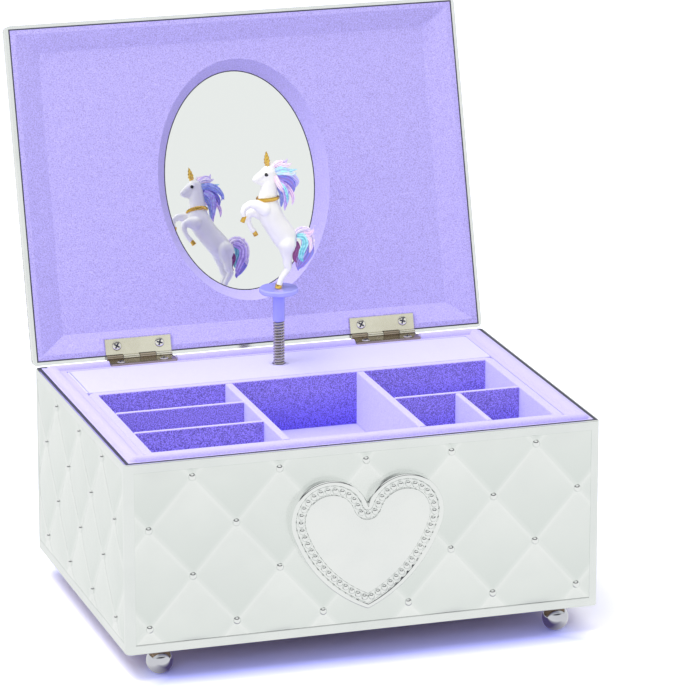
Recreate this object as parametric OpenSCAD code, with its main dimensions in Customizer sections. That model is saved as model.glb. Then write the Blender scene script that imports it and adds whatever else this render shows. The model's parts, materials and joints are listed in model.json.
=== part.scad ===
// Wind-up music box with a hinged mirror lid and a turning figure on a spring post.
// The case stands open, as it is used. Z = 0 is the underside of the case walls;
// X = 0 and Y = 0 are the middle of the case. The feet reach below Z = 0.

/* [Case] */
// Width of the case, left to right
case_w = 160; // [150:1:190]
// Depth of the case, front to back
case_d = 115; // [112:1:135]
// Height of the case walls, without the feet
case_h = 63.5; // [62:0.5:80]
// Thickness of the metal walls
wall_t = 3; // [2.8:0.1:3.4]
// Radius of the upright corners
corner_r = 2; // [1.5:0.1:3]
// Width of the bare metal rim round the lining
rim_w = 1.4; // [1.2:0.1:1.8]
// Thickness of the wooden core, front and back
core_t_y = 5.2; // [4.6:0.1:6]
// Thickness of the wooden core, left and right
core_t_x = 6; // [4.6:0.1:8]
// Thickness of the base board
base_t = 4; // [3:0.5:5]
// How far the base board sits up inside the walls
base_recess = 1; // [0.6:0.1:2]
// Height of the feet under the case
foot_h = 9; // [8.6:0.1:14]
// Diameter of the ball feet
foot_dia = 8.7; // [6:0.1:8.8]
// Distance from the case's side to a foot's middle
foot_inset_x = 12.5; // [10:0.5:20]
// Distance from the case's front or back to a foot's middle
foot_inset_y = 6.5; // [6.4:0.1:6.6]

/* [Quilting] */
// Distance between two studs along a row
stud_pitch = 28.9; // [24:0.1:32]
// Height between two rows of studs
row_pitch = 16.5; // [14:0.1:18]
// Height of the second lowest row of studs on the case
first_row = 24.6; // [20:0.1:28]
// How high a pillow rises over its creases
pillow_h = 1.4; // [0.8:0.1:2]
// Thickness of a quilted plate at its creases
quilt_t = 1.2; // [1:0.1:1.4]
// Depth of the seat that a quilted plate lies in
quilt_seat = 1.4; // [1.3:0.05:1.5]
// Width of the plain border round a quilted plate
border_w = 3.2; // [3.1:0.1:5]
// Radius of a stud
stud_r = 1.35; // [1:0.05:1.8]
// Height of a stud over the crease
stud_h = 1.1; // [0.8:0.1:1.5]

/* [Heart plate] */
// Radius of the two lobes
lobe_r = 13.2; // [11:0.1:14]
// Distance from the middle line to a lobe's centre
lobe_x = 12.6; // [10:0.1:13]
// Height of the lobes' centres over the underside of the case
lobe_z = 39.3; // [36:0.1:42]
// Height of the heart's tip
heart_tip = 8.1; // [7:0.1:14]
// Radius of the heart's long sides
side_r = 45; // [38:1:60]
// Thickness of the heart plate
heart_t = 2.6; // [1.8:0.1:3.2]
// Width of the plain raised rim of the heart
heart_rim = 1.9; // [1.4:0.1:2.4]
// Diameter of a bead
bead_dia = 2.2; // [1.6:0.1:2.4]

/* [Lining and tray] */
// Thickness of the padded lining frame
lining_t = 2.2; // [2:0.05:2.3]
// Radius of the rounded lip on the lining
lip_r = 2.6; // [2.2:0.1:3]
// Height of the lip over the rim
lip_h = 1.4; // [1:0.1:1.5]
// Depth of the raised deck behind the tray
deck_d = 26.2; // [25.6:0.1:28]
// Thickness of the deck's and tray's board
board_t = 2; // [1.6:0.1:2.4]
// Depth of the tray's compartments
tray_depth = 18.3; // [17.6:0.1:19]
// Thickness of the tray's outer wall
tray_wall = 3.2; // [2.4:0.1:3.4]
// Thickness of the two long dividers
long_div_t = 2.6; // [2:0.1:2.8]
// Thickness of the short dividers
short_div_t = 1.9; // [1.4:0.1:2.4]
// Thickness of the shelf under the tray
shelf_t = 3; // [2:0.5:4]

/* [Hinges] */
// Width of a hinge leaf
leaf_w = 23; // [18:0.5:28]
// Distance from a hinge pin to the free edge of its leaf
leaf_l = 6.4; // [6:0.1:6.8]
// Thickness of a leaf
leaf_t = 0.7; // [0.6:0.05:0.8]
// Radius of the knuckles
knuckle_r = 0.95; // [0.85:0.01:0.97]
// Radius of the hinge pin
pin_r = 0.45; // [0.4:0.01:0.5]
// Distance from the case's side to a hinge's middle
hinge_inset = 36.5; // [30:0.5:40]
// Distance between the two screws of a leaf
screw_span = 15; // [12:0.5:16]
// Angle that the lid stands open
lid_open = 106.5; // [100:0.5:110]

/* [Lid] */
// Gap between the rim of the case and the rim of the closed lid
lid_gap = 2; // [1.96:0.01:2.4]
// Height of the lid's upright edge
lid_edge_h = 4; // [3:0.1:5]
// Height of the lid from its rim to the quilted top
lid_h = 12.6; // [12.4:0.1:16]
// How far the lid's top is set in from its edge
lid_inset = 9; // [7:0.5:12]
// Thickness of the lid's metal
lid_wall = 1.2; // [1:0.1:1.4]
// Width of the flat flocked rim inside the lid
lid_rim = 2; // [1.5:0.1:2.4]
// Width of the bevel at the lid's left and right
bevel_x = 8.4; // [7:0.1:10]
// Width of the bevel at the lid's front and back
bevel_y = 6.4; // [5:0.1:7.5]
// Depth of the bevel
bevel_depth = 3.2; // [2:0.1:4]
// Width of the visible mirror
mirror_w = 53.6; // [48:0.2:56]
// Length of the visible mirror
mirror_l = 75.6; // [70:0.2:78]
// Width of the slope round the mirror
mirror_slope = 3.7; // [2.5:0.1:4.5]
// Depth of the mirror's face behind the lid's rim
mirror_depth = 8.9; // [8.6:0.1:9.2]
// Thickness of the mirror
mirror_t = 1.5; // [1.2:0.1:2]

/* [Figure and spring post] */
// Distance from the case's back to the post
post_inset = 20; // [19.6:0.1:21]
// Height of the coil spring that shows over the deck
spring_show = 15; // [14.6:0.1:15.4]
// Outer diameter of the coil spring
spring_dia = 4.1; // [4:0.05:4.3]
// Wire thickness of the coil spring
wire_t = 0.72; // [0.66:0.01:0.76]
// Length of the spring inside the deck
spring_seat = 4; // [3:0.5:5]
// Length of the figure's stem
stem_l = 9.7; // [9:0.1:10]
// Diameter of the figure's platform
platform_dia = 13.3; // [12:0.1:13.6]
// Thickness of the platform
platform_t = 1.8; // [1.4:0.1:2]
// Height of the figure over its platform
figure_h = 47.65; // [44:0.05:48]
// Height of the bending point over the deck
bend_up = 5; // [4.6:0.1:5.4]
// Distance from the post's axis forward to the bending point
bend_fwd = 2; // [1.8:0.1:2.2]

/* [Movement] */
// Outer radius of the spring barrel's toothed flange
flange_r = 11.4; // [11.2:0.05:11.5]
// Radius of the spring barrel's drum
drum_r = 9.2; // [9:0.05:9.25]
// Height of the spring barrel's drum
drum_h = 11; // [9:0.5:14]
// Length of the pinned cylinder
cylinder_l = 22; // [20:0.5:24]
// Radius of the pinned cylinder
cylinder_r = 5.6; // [5.2:0.05:5.65]
// Number of teeth in the comb
comb_teeth = 18; // [12:1:22]
// Length of the comb's teeth
tooth_l = 12; // [10:0.5:13]
// Thickness of the movement's bedplate
bed_t = 2.5; // [2:0.1:3]
// Width across the wings of the key
key_w = 22; // [16:0.5:23]
// Radius of the well round the key
well_r = 12.5; // [12:0.1:13]

/* [Hidden] */

$fn = 48;
eps = 0.01;
fit = 0.05;            // radial running clearance
seat_gap = 0.1;        // clearance round a part that drops into a seat
silver = [0.89, 0.91, 0.90];
lavender = [0.80, 0.76, 0.95];
deep_lavender = [0.68, 0.63, 0.92];
periwinkle = [0.59, 0.59, 0.96];
wood_tan = [0.76, 0.62, 0.44];
steel = [0.70, 0.71, 0.73];
brass_yellow = [0.82, 0.68, 0.35];

// ---- derived places ----
inner_w = case_w - 2 * wall_t;
inner_d = case_d - 2 * wall_t;
bay_w = inner_w - 2 * core_t_x;          // clear width inside the core
bay_d = inner_d - 2 * core_t_y;          // clear depth inside the core
base_top = base_recess + base_t;
tray_bottom = case_h - tray_depth - board_t;
shelf_z = tray_bottom - shelf_t;
core_top = case_h - lining_t;
post_y = case_d / 2 - post_inset;
hinge_y = case_d / 2 - 0.5;
hinge_z = case_h + lid_gap / 2;
hinge_span = case_w - 2 * hinge_inset;   // between the middles of the two hinges
lid_z = case_h + lid_gap;                // the closed lid's rim

// ---- small helpers ----
module rounded_rect(w, d, r) {
    square([w - 2 * r, d], center = true);
    square([w, d - 2 * r], center = true);
    for (x = [-1, 1], y = [-1, 1])
        translate([x * (w / 2 - r), y * (d / 2 - r)]) circle(r);
}

module slab(w, d, r, z, h) {
    translate([0, 0, z]) linear_extrude(h) rounded_rect(w, d, r);
}

module ring(w, d, r, t_x, t_y, z, h) {
    translate([0, 0, z]) linear_extrude(h) difference() {
        rounded_rect(w, d, r);
        square([w - 2 * t_x, d - 2 * t_y], center = true);
    }
}

// A block whose sides slope in from a low rectangle to a high one
module frustum(w1, d1, w2, d2, z1, z2) {
    polyhedron(
        points = concat(
            [for (p = [[-1, -1], [1, -1], [1, 1], [-1, 1]]) [p[0] * w1 / 2, p[1] * d1 / 2, z1]],
            [for (p = [[-1, -1], [1, -1], [1, 1], [-1, 1]]) [p[0] * w2 / 2, p[1] * d2 / 2, z2]]
        ),
        faces = [[0, 1, 2, 3], [7, 6, 5, 4], [4, 5, 1, 0], [5, 6, 2, 1], [6, 7, 3, 2], [7, 4, 0, 3]]
    );
}

// Puts the closed lid's geometry where the open lid stands
module on_lid() {
    translate([0, hinge_y, hinge_z]) rotate([-lid_open, 0, 0])
        translate([0, -hinge_y, -hinge_z]) children();
}

// A countersunk screw, its head's face at z = 0 and its point down
module screw(head_r, shank_r, length) {
    head_h = head_r - shank_r;
    difference() {
        union() {
            translate([0, 0, -head_h]) cylinder(r1 = shank_r, r2 = head_r, h = head_h);
            translate([0, 0, -length]) cylinder(r = shank_r, h = length - head_h + eps);
        }
        for (a = [0, 90]) rotate(a)
            cube([head_r * 1.1, head_r * 0.25, head_h * 0.9], center = true);
    }
}

module screw_hole(head_r, shank_r, length) {
    head_h = head_r - shank_r;
    translate([0, 0, -head_h]) cylinder(r1 = shank_r + fit, r2 = head_r + fit, h = head_h);
    translate([0, 0, -length - fit]) cylinder(r = shank_r + fit, h = length);
    cylinder(r = head_r + fit, h = 1);
}

// ---- quilting ----
seat_share = 0.11;     // half width of the flat round a stud, as a share of the step to the next
quilt_lines = [seat_share, 0.37, 0.63, 1 - seat_share];

function frac(v) = v - floor(v);

// Height of a pillow at a place counted from a stud
function pillow(x, z) =
    let (a = frac(x / stud_pitch + z / (2 * row_pitch)), b = frac(x / stud_pitch - z / (2 * row_pitch)))
    pillow_h * pow(max(0, sin(180 * a) * sin(180 * b)), 0.45);

function edge_fade(d) = pow(min(1, max(0, d) / 3), 0.5);

// The grid lines from one side of a plate to the other, in step with the studs
function grid_lines(half, phase, step) =
    let (first = floor((-half - phase) / step), last = ceil((half - phase) / step))
    concat([-half], [for (i = [first : last], f = quilt_lines)
        let (v = phase + (i + f) * step) if (abs(v) < half - 0.5) v], [half]);

// A side of a plate as triangles from its low corner under the row's start, and one to the far corner
function side_fan(row, low, far) =
    concat([for (i = [0 : len(row) - 2]) [row[i], row[i + 1], low]], [[row[len(row) - 1], far, low]]);

// A quilted plate in the XY plane: its back at z = 0, its creases and stud seats at quilt_t
module quilt_plate(w, h, stud_x, stud_y) {
    xs = grid_lines(w / 2, stud_x, stud_pitch / 2);
    ys = grid_lines(h / 2, stud_y, row_pitch);
    nx = len(xs);
    ny = len(ys);
    top = [for (y = ys, x = xs)
        let (d = min(w / 2 - abs(x), h / 2 - abs(y)))
        [x, y, quilt_t + pillow(x - stud_x, y - stud_y) * edge_fade(d)]];
    corners = [[-w / 2, -h / 2, 0], [w / 2, -h / 2, 0], [w / 2, h / 2, 0], [-w / 2, h / 2, 0]];
    c = nx * ny;
    cells = [for (j = [0 : ny - 2], i = [0 : nx - 2])
        let (k = j * nx + i,
             cx = (xs[i] + xs[i + 1]) / 2 - stud_x, cy = (ys[j] + ys[j + 1]) / 2 - stud_y,
             rising = cos(360 * (cx / stud_pitch - cy / (2 * row_pitch)))
                    > cos(360 * (cx / stud_pitch + cy / (2 * row_pitch))))
        each (rising
            ? [[k, k + nx, k + nx + 1], [k, k + nx + 1, k + 1]]
            : [[k, k + nx, k + 1], [k + 1, k + nx, k + nx + 1]])];
    front = side_fan([for (i = [0 : nx - 1]) i], c, c + 1);
    back = side_fan([for (i = [nx - 1 : -1 : 0]) (ny - 1) * nx + i], c + 2, c + 3);
    left = side_fan([for (j = [ny - 1 : -1 : 0]) j * nx], c + 3, c);
    right = side_fan([for (j = [0 : ny - 1]) j * nx + nx - 1], c + 1, c + 2);
    polyhedron(points = concat(top, corners),
        faces = concat(cells, front, back, left, right, [[c, c + 1, c + 2], [c, c + 2, c + 3]]));
}

// Places of the studs on a plate of this size
function stud_places(w, h, stud_x, stud_y) =
    [for (j = [-8 : 8], i = [-8 : 8])
        let (x = stud_x + (i + (j % 2 == 0 ? 0 : 0.5)) * stud_pitch, y = stud_y + j * row_pitch)
        if (abs(x) < w / 2 - stud_r && abs(y) < h / 2 - stud_r) [x, y]];

module stud() {
    dome_r = (stud_r * stud_r + stud_h * stud_h) / (2 * stud_h);
    rotate_extrude() intersection() {
        translate([0, stud_h - dome_r]) circle(dome_r);
        square([stud_r, stud_h]);
    }
}

plate_h = case_h - 2 * border_w;         // height of a quilted plate on the case
plate_mid = case_h / 2;
front_plate_w = case_w - 2 * border_w;
side_plate_w = case_d - 2 * border_w;
stud_y0 = first_row - plate_mid;
lid_top_w = case_w - 2 * lid_inset;
lid_top_d = case_d - 2 * lid_inset;
lid_plate_w = lid_top_w - 2 * border_w;
lid_plate_d = lid_top_d - 2 * border_w;

// Stands a plate's XY plane up on the case's front, back, left or right
module on_front() { translate([0, -case_d / 2 + quilt_seat, plate_mid]) rotate([90, 0, 0]) children(); }
module on_back() { rotate(180) on_front() children(); }
module on_left() { rotate(-90) translate([0, -case_w / 2 + quilt_seat, plate_mid]) rotate([90, 0, 0]) children(); }
module on_right() { rotate(180) on_left() children(); }

// ---- the heart outline ----
// The long sides are arcs that leave the lobes smoothly and meet at the tip
side_k = side_r - lobe_r;
side_b = lobe_z - heart_tip;
side_turn = atan2(side_b, -lobe_x)
    - acos((side_r * side_r - lobe_x * lobe_x - side_b * side_b - side_k * side_k)
        / (2 * side_k * norm([lobe_x, side_b])));
side_x = -lobe_x + side_k * cos(side_turn);
side_z = lobe_z + side_k * sin(side_turn);

// The left half of the heart, from the notch to the tip, set in by a distance. Set in, the
// notch becomes an arc round its own point; set out, the two lobes simply meet sooner.
notch_turn = acos(lobe_x / lobe_r);
notch_z = lobe_z + lobe_r * sin(notch_turn);
function lobe_start(i) = i > 0 ? notch_turn : acos(lobe_x / (lobe_r - i));
lobe_end = 180 + side_turn;
function side_end(i) = 180 + acos(side_x / (side_r - i));
function notch_point(i, a) = [i * cos(a), notch_z + i * sin(a)];
function lobe_point(i, a) = [-lobe_x + (lobe_r - i) * cos(a), lobe_z + (lobe_r - i) * sin(a)];
function side_point(i, a) = [side_x + (side_r - i) * cos(a), side_z + (side_r - i) * sin(a)];
function half_heart(i) = concat(
    i > 0 ? [for (k = [0 : 3]) notch_point(i, 270 - k * (90 - notch_turn) / 4)] : [],
    [for (k = [0 : 20]) lobe_point(i, lobe_start(i) + k * (lobe_end - lobe_start(i)) / 20)],
    [for (k = [1 : 12]) side_point(i, lobe_end + k * (side_end(i) - lobe_end) / 12)]);
function mirrored(points) = [for (k = [len(points) - 2 : -1 : 1]) [-points[k][0], points[k][1]]];
module heart_shape(i) {
    half = half_heart(i);
    polygon([for (p = concat(half, mirrored(half))) [p[0], p[1] - plate_mid]]);
}

// Beads at equal steps round the notch, the lobe and the side, one of them in the notch
bead_path = heart_rim + bead_dia / 2 + 0.3;
bead_step = bead_dia + 0.3;
notch_run = (90 - notch_turn) * PI / 180 * bead_path;
lobe_run = (lobe_end - notch_turn) * PI / 180 * (lobe_r - bead_path);
side_run = (side_end(bead_path) - lobe_end) * PI / 180 * (side_r - bead_path);
bead_run = notch_run + lobe_run + side_run;
half_count = round(bead_run / bead_step - 0.5);
function along_heart(t) = t < notch_run ? notch_point(bead_path, 270 - t / bead_path * 180 / PI)
    : t < notch_run + lobe_run
        ? lobe_point(bead_path, notch_turn + (t - notch_run) / (lobe_r - bead_path) * 180 / PI)
        : side_point(bead_path, lobe_end + (t - notch_run - lobe_run) / (side_r - bead_path) * 180 / PI);
half_beads = [for (k = [1 : half_count]) along_heart(k * bead_run / (half_count + 0.5))];

// ---- case ----
module case_shell() {
    color(silver) difference() {
        slab(case_w, case_d, corner_r, 0, case_h);
        translate([0, 0, -1]) linear_extrude(case_h + 2) square([inner_w, inner_d], center = true);
        slab(case_w - 2 * rim_w, case_d - 2 * rim_w, corner_r / 2, core_top, lining_t + 1);
        on_front() plate_seat(front_plate_w);
        on_back() plate_seat(front_plate_w);
        on_left() plate_seat(side_plate_w);
        on_right() plate_seat(side_plate_w);
    }
}

module plate_seat(w) {
    translate([-w / 2, -plate_h / 2, 0]) cube([w, plate_h, quilt_seat + 1]);
}

module front_quilt() {
    color(silver) on_front() difference() {
        quilt_plate(front_plate_w - seat_gap, plate_h - seat_gap, 0, stud_y0);
        translate([0, 0, -1]) linear_extrude(quilt_t + pillow_h + 2) heart_shape(-fit);
    }
}

// The front's studs, without those that the heart plate covers
function under_heart(p) = abs(p[0]) < lobe_x + lobe_r && p[1] + plate_mid > heart_tip + 1
    && p[1] + plate_mid < lobe_z + lobe_r
    && (p[1] + plate_mid > lobe_z - lobe_r || abs(p[0]) < (p[1] + plate_mid - heart_tip + 4));
front_studs = [for (p = stud_places(front_plate_w, plate_h, 0, stud_y0)) if (!under_heart(p)) p];
back_studs = stud_places(front_plate_w, plate_h, 0, stud_y0);
side_studs = stud_places(side_plate_w, plate_h, 0, stud_y0);
lid_plate_studs = stud_places(lid_plate_w, lid_plate_d, 0, 0);

module back_quilt() {
    color(silver) on_back() quilt_plate(front_plate_w - seat_gap, plate_h - seat_gap, 0, stud_y0);
}

module side_quilt() { quilt_plate(side_plate_w - seat_gap, plate_h - seat_gap, 0, stud_y0); }

module left_quilt() { color(silver) on_left() side_quilt(); }

module right_quilt() { color(silver) on_right() side_quilt(); }

module studs_at(places) {
    for (p = places) translate([p[0], p[1], quilt_t]) stud();
}

module case_studs() {
    color(silver) {
        on_front() studs_at(front_studs);
        on_back() studs_at(back_studs);
        on_left() studs_at(side_studs);
        on_right() studs_at(side_studs);
    }
}

heart_top = quilt_t + heart_t;
bead_floor = heart_top - 0.8;            // the groove that holds the beads

// The heart goes through an opening in the front's quilted plate
module heart_plate() {
    color(silver) on_front() difference() {
        linear_extrude(heart_top) heart_shape(0);
        translate([0, 0, bead_floor]) linear_extrude(1) difference() {
            heart_shape(heart_rim);
            heart_shape(heart_rim + bead_dia + 0.6);
        }
        translate([0, 0, heart_top - 0.3]) linear_extrude(1) heart_shape(heart_rim + bead_dia);
    }
}

module heart_beads() {
    beads = concat([along_heart(0)], half_beads, [for (p = half_beads) [-p[0], p[1]]]);
    color(silver) on_front() for (p = beads)
        translate([p[0], p[1] - plate_mid, bead_floor]) intersection() {
            translate([0, 0, 0.2]) sphere(bead_dia / 2);
            translate([0, 0, bead_dia]) cube(2 * bead_dia, center = true);
        }
}

module base_board() {
    color(wood_tan) difference() {
        slab(inner_w - seat_gap, inner_d - seat_gap, 1, base_recess, base_t);
        translate([0, post_y, 0]) cylinder(r = well_r, h = base_top + 1);
        at_feet() translate([0, 0, -1]) cylinder(r = foot_stud_r + fit, h = base_top + 2);
        at_base_screws() rotate([180, 0, 0]) screw_hole(base_screw_head, base_screw_r, base_screw_l);
        at_bed_screws() translate([0, 0, base_recess - 1]) cylinder(r = bed_screw_r + fit, h = base_t + 2);
    }
}

foot_stud_r = 1.5;
foot_stud_l = 6;
foot_neck_r = 2.2;
foot_flat = 0.15;
base_screw_r = 1.2;
base_screw_head = 2.6;
base_screw_l = 12;

module at_feet() {
    for (x = [-1, 1], y = [-1, 1])
        translate([x * (case_w / 2 - foot_inset_x), y * (case_d / 2 - foot_inset_y), 0]) children();
}

module at_base_screws() {
    for (x = [-1, 1], y = [-1, 1])
        translate([x * case_w / 4, y * (inner_d / 2 - core_t_y / 2), base_recess]) children();
}

module base_screws() {
    color(steel) at_base_screws() rotate([180, 0, 0]) screw(base_screw_head, base_screw_r, base_screw_l);
}

module foot(x, y) {
    ball_r = foot_dia / 2;
    color(silver) translate([x * (case_w / 2 - foot_inset_x), y * (case_d / 2 - foot_inset_y), 0])
        rotate_extrude() intersection() {
            union() {
                translate([0, -foot_h + ball_r - foot_flat]) circle(ball_r);
                translate([0, -foot_h + ball_r]) square([foot_neck_r, foot_h - ball_r + base_recess]);
                square([foot_stud_r, base_top + foot_stud_l]);
            }
            translate([0, -foot_h]) square([ball_r, foot_h + base_top + foot_stud_l]);
        }
}

module foot_front_left() { foot(-1, -1); }

module foot_front_right() { foot(1, -1); }

module foot_back_left() { foot(-1, 1); }

module foot_back_right() { foot(1, 1); }

module lower_core() {
    color(wood_tan) difference() {
        ring(inner_w - seat_gap, inner_d - seat_gap, 1, core_t_x, core_t_y, base_top, shelf_z - base_top);
        at_feet() cylinder(r = foot_stud_r + fit, h = base_top + foot_stud_l + fit);
        at_base_screws() rotate([180, 0, 0]) screw_hole(base_screw_head, base_screw_r, base_screw_l);
    }
}

module shelf_board() {
    color(wood_tan) difference() {
        slab(inner_w - seat_gap, inner_d - seat_gap, 1, shelf_z, shelf_t);
        translate([0, post_y, shelf_z - 1]) cylinder(r = spindle_r + 1.5, h = shelf_t + 2);
    }
}

module upper_core() {
    color(wood_tan) difference() {
        ring(inner_w - seat_gap, inner_d - seat_gap, 1, core_t_x, core_t_y,
            tray_bottom, core_top - tray_bottom);
        at_case_hinge_screws() screw_hole(hinge_screw_head, hinge_screw_r, hinge_screw_l);
    }
}

// ---- lining, deck and tray ----
lip_in = rim_w + 0.8 + lip_r;            // distance of the lip's line from the case's side
lip_x = case_w / 2 - lip_in;
lip_y = case_d / 2 - lip_in;

module lining_frame() {
    color(lavender) difference() {
        union() {
            ring(case_w - 2 * rim_w - seat_gap, case_d - 2 * rim_w - seat_gap, corner_r / 2,
                wall_t - rim_w + core_t_x - seat_gap / 2, wall_t - rim_w + core_t_y - seat_gap / 2,
                core_top, lining_t);
            translate([0, 0, case_h + lip_h - lip_r]) {
                for (s = [-1, 1]) {
                    translate([0, s * lip_y, 0]) rotate([0, 90, 0])
                        cylinder(r = lip_r, h = 2 * lip_x, center = true);
                    translate([s * lip_x, 0, 0]) rotate([90, 0, 0])
                        cylinder(r = lip_r, h = 2 * lip_y, center = true);
                    for (t = [-1, 1]) translate([s * lip_x, t * lip_y, 0]) sphere(lip_r);
                }
            }
        }
        at_hinges() translate([-leaf_w / 2 - leaf_room, -leaf_l - leaf_room, -lid_gap / 2])
            cube([leaf_w + 2 * leaf_room, leaf_l + 4, lip_h + 1]);
        at_case_hinge_screws() screw_hole(hinge_screw_head, hinge_screw_r, hinge_screw_l);
        translate([0, 0, core_top - 10]) linear_extrude(10) square([case_w, case_d], center = true);
    }
}

deck_back = bay_d / 2 - seat_gap;
deck_front = deck_back - deck_d;
bush_r = spring_dia / 2 + 1;

module deck_box() {
    color(lavender) translate([0, (deck_back + deck_front) / 2, 0]) difference() {
        slab(bay_w - 2 * seat_gap, deck_d, 1, tray_bottom, case_h - tray_bottom);
        slab(bay_w - 2 * seat_gap - 2 * board_t, deck_d - 2 * board_t, 0.5,
            tray_bottom - 1, case_h - tray_bottom - board_t + 1);
        translate([0, post_y - (deck_back + deck_front) / 2, tray_bottom])
            cylinder(r = bush_r + fit, h = case_h);
    }
}

spring_floor = case_h - spring_seat;     // where the spring stands on the drive spindle
shoulder_h = 0.8;

module deck_bush() {
    low = spring_floor - shoulder_h - 1.5;
    color(periwinkle) translate([0, post_y, 0]) difference() {
        union() {
            translate([0, 0, case_h - board_t - eps]) cylinder(r = bush_r, h = board_t + eps);
            translate([0, 0, low]) cylinder(r = bush_r + 1.5, h = case_h - board_t - low);
        }
        translate([0, 0, low - 1]) cylinder(r = spindle_r + fit, h = spring_seat);
        translate([0, 0, low + 1.2]) cylinder(r = spring_dia / 2 + 0.35, h = case_h - low);
    }
}

tray_back = deck_front - seat_gap;
tray_front = -bay_d / 2 + seat_gap;
tray_w = bay_w - 2 * seat_gap;
tray_d = tray_back - tray_front;
tray_mid = (tray_back + tray_front) / 2;
cell_low_x = -tray_w / 2 + tray_wall;
cell_low_y = tray_front + tray_wall;
cell_high_y = tray_back - tray_wall;
column_w = (tray_w - 2 * tray_wall - 2 * long_div_t) / 3;
row_d = (cell_high_y - cell_low_y - 2 * short_div_t) / 3;
mid_low_x = cell_low_x + column_w;       // left face of the left long divider
mid_high_x = mid_low_x + long_div_t + column_w;
cross_y = cell_low_y + (cell_high_y - cell_low_y - short_div_t) / 2;
small_x = mid_high_x + long_div_t + (column_w - short_div_t) / 2;

module tray_floor() {
    color(deep_lavender) translate([0, tray_mid, 0]) slab(tray_w, tray_d, 3, tray_bottom, board_t);
}

module tray_wall_ring() {
    color(lavender) translate([0, 0, tray_bottom + board_t]) linear_extrude(tray_depth) difference() {
        translate([0, tray_mid]) rounded_rect(tray_w, tray_d, 3);
        translate([cell_low_x, cell_low_y])
            square([tray_w - 2 * tray_wall, cell_high_y - cell_low_y]);
    }
}

module divider(x, y, w, d) {
    color(lavender) translate([x, y, tray_bottom + board_t]) cube([w, d, tray_depth]);
}

module left_divider() { divider(mid_low_x, cell_low_y, long_div_t, cell_high_y - cell_low_y); }

module right_divider() { divider(mid_high_x, cell_low_y, long_div_t, cell_high_y - cell_low_y); }

module back_row_divider() { divider(cell_low_x, cell_high_y - row_d - short_div_t, column_w, short_div_t); }

module front_row_divider() { divider(cell_low_x, cell_low_y + row_d, column_w, short_div_t); }

module cross_divider() { divider(mid_high_x + long_div_t, cross_y, column_w, short_div_t); }

module small_divider() { divider(small_x, cell_low_y, short_div_t, cross_y - cell_low_y); }

// ---- movement ----
bed_z = base_top;
bed_top = bed_z + bed_t;
flange_z = bed_top + 0.8;
flange_t = 1.7;
crown_teeth = 38;
crown_tooth_h = 0.9;
crown_r = (drum_r + flange_r) / 2 + 0.1;
crown_m = 2 * crown_r / crown_teeth;
pinion_teeth = 12;
pinion_r = crown_m * pinion_teeth / 2;
crown_pitch_z = flange_z + flange_t + crown_tooth_h / 2;
axis_z = crown_pitch_z + pinion_r;       // height of the pinned cylinder's arbor
barrel_top = flange_z + flange_t + drum_h;
barrel_wall = 0.8;
arbor_r = 2;
spindle_r = 1.5;
bed_screw_r = 1.1;
end_wheel_teeth = 24;
governor_pinion_teeth = 8;
train_m = 0.45;
train_gap = train_m * (end_wheel_teeth + governor_pinion_teeth) / 2;
train_rise = 25;                         // how far the governor arbor lies over the cylinder's
worm_wheel_teeth = 16;
worm_m = 0.5;
worm_r = 1.6;
worm_starts = 2;
worm_l = 5;
worm_lead = PI * worm_m * worm_starts;
governor_y = post_y - train_gap * cos(train_rise);
governor_z = axis_z + train_gap * sin(train_rise);
worm_y = governor_y - worm_m * worm_wheel_teeth / 2 - worm_r;
cylinder_end = -flange_r - 2.6;          // right-hand end of the pinned cylinder
wheel_x = cylinder_end - cylinder_l - 1.7;
inner_lug_x = wheel_x - 1.8;
worm_x = inner_lug_x - 2.4;
outer_lug_x = worm_x - 2.6;
lug_t = 1.2;
thin_arbor_r = 0.6;
fly_r = 4;
fly_z = governor_z + worm_l / 2 + 1.2;
fly_h = 4.5;
comb_t = 1;
comb_tip = cylinder_r + 0.45;
comb_base_l = 6;
bed_back = 11;                           // reach of the bedplate behind the post
bed_front = comb_tip + tooth_l + comb_base_l + 1;
pin_h = 0.3;
pin_w = 0.35;

// Puts a shape's Z axis along the movement's left-right arbors, at x
module on_arbor(x, y, z) { translate([x, y, z]) rotate([0, 90, 0]) children(); }

// A gear outline with a tooth centred on its X axis; widths are shares of the tooth pitch
module gear_outline(teeth, m, root_share, tip_share) {
    step = 360 / teeth;
    root = m * teeth / 2 - 1.1 * m;
    tip = m * teeth / 2 + 0.8 * m;
    polygon([for (k = [0 : teeth - 1]) each [
        for (p = [[root, -root_share], [tip, -tip_share], [tip, tip_share], [root, root_share]])
            p[0] * [cos((k + p[1]) * step), sin((k + p[1]) * step)]
    ]]);
}

module at_bed_screws() {
    for (p = [[outer_lug_x - 1, bed_back - 3], [outer_lug_x - 1, 2 - bed_front], [flange_r - 1.5, 2 - bed_front]])
        translate([p[0], post_y + p[1], 0]) children();
}

module at_comb_screws() {
    for (x = [-1, 1])
        translate([cylinder_end - cylinder_l / 2 + x * cylinder_l / 4,
            post_y - comb_tip - tooth_l - comb_base_l / 2, axis_z + comb_t / 2]) children();
}

module lug(x, y, w, top) {
    translate([x - lug_t / 2, y - w / 2, bed_top - eps]) cube([lug_t, w, top - bed_top]);
}

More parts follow.
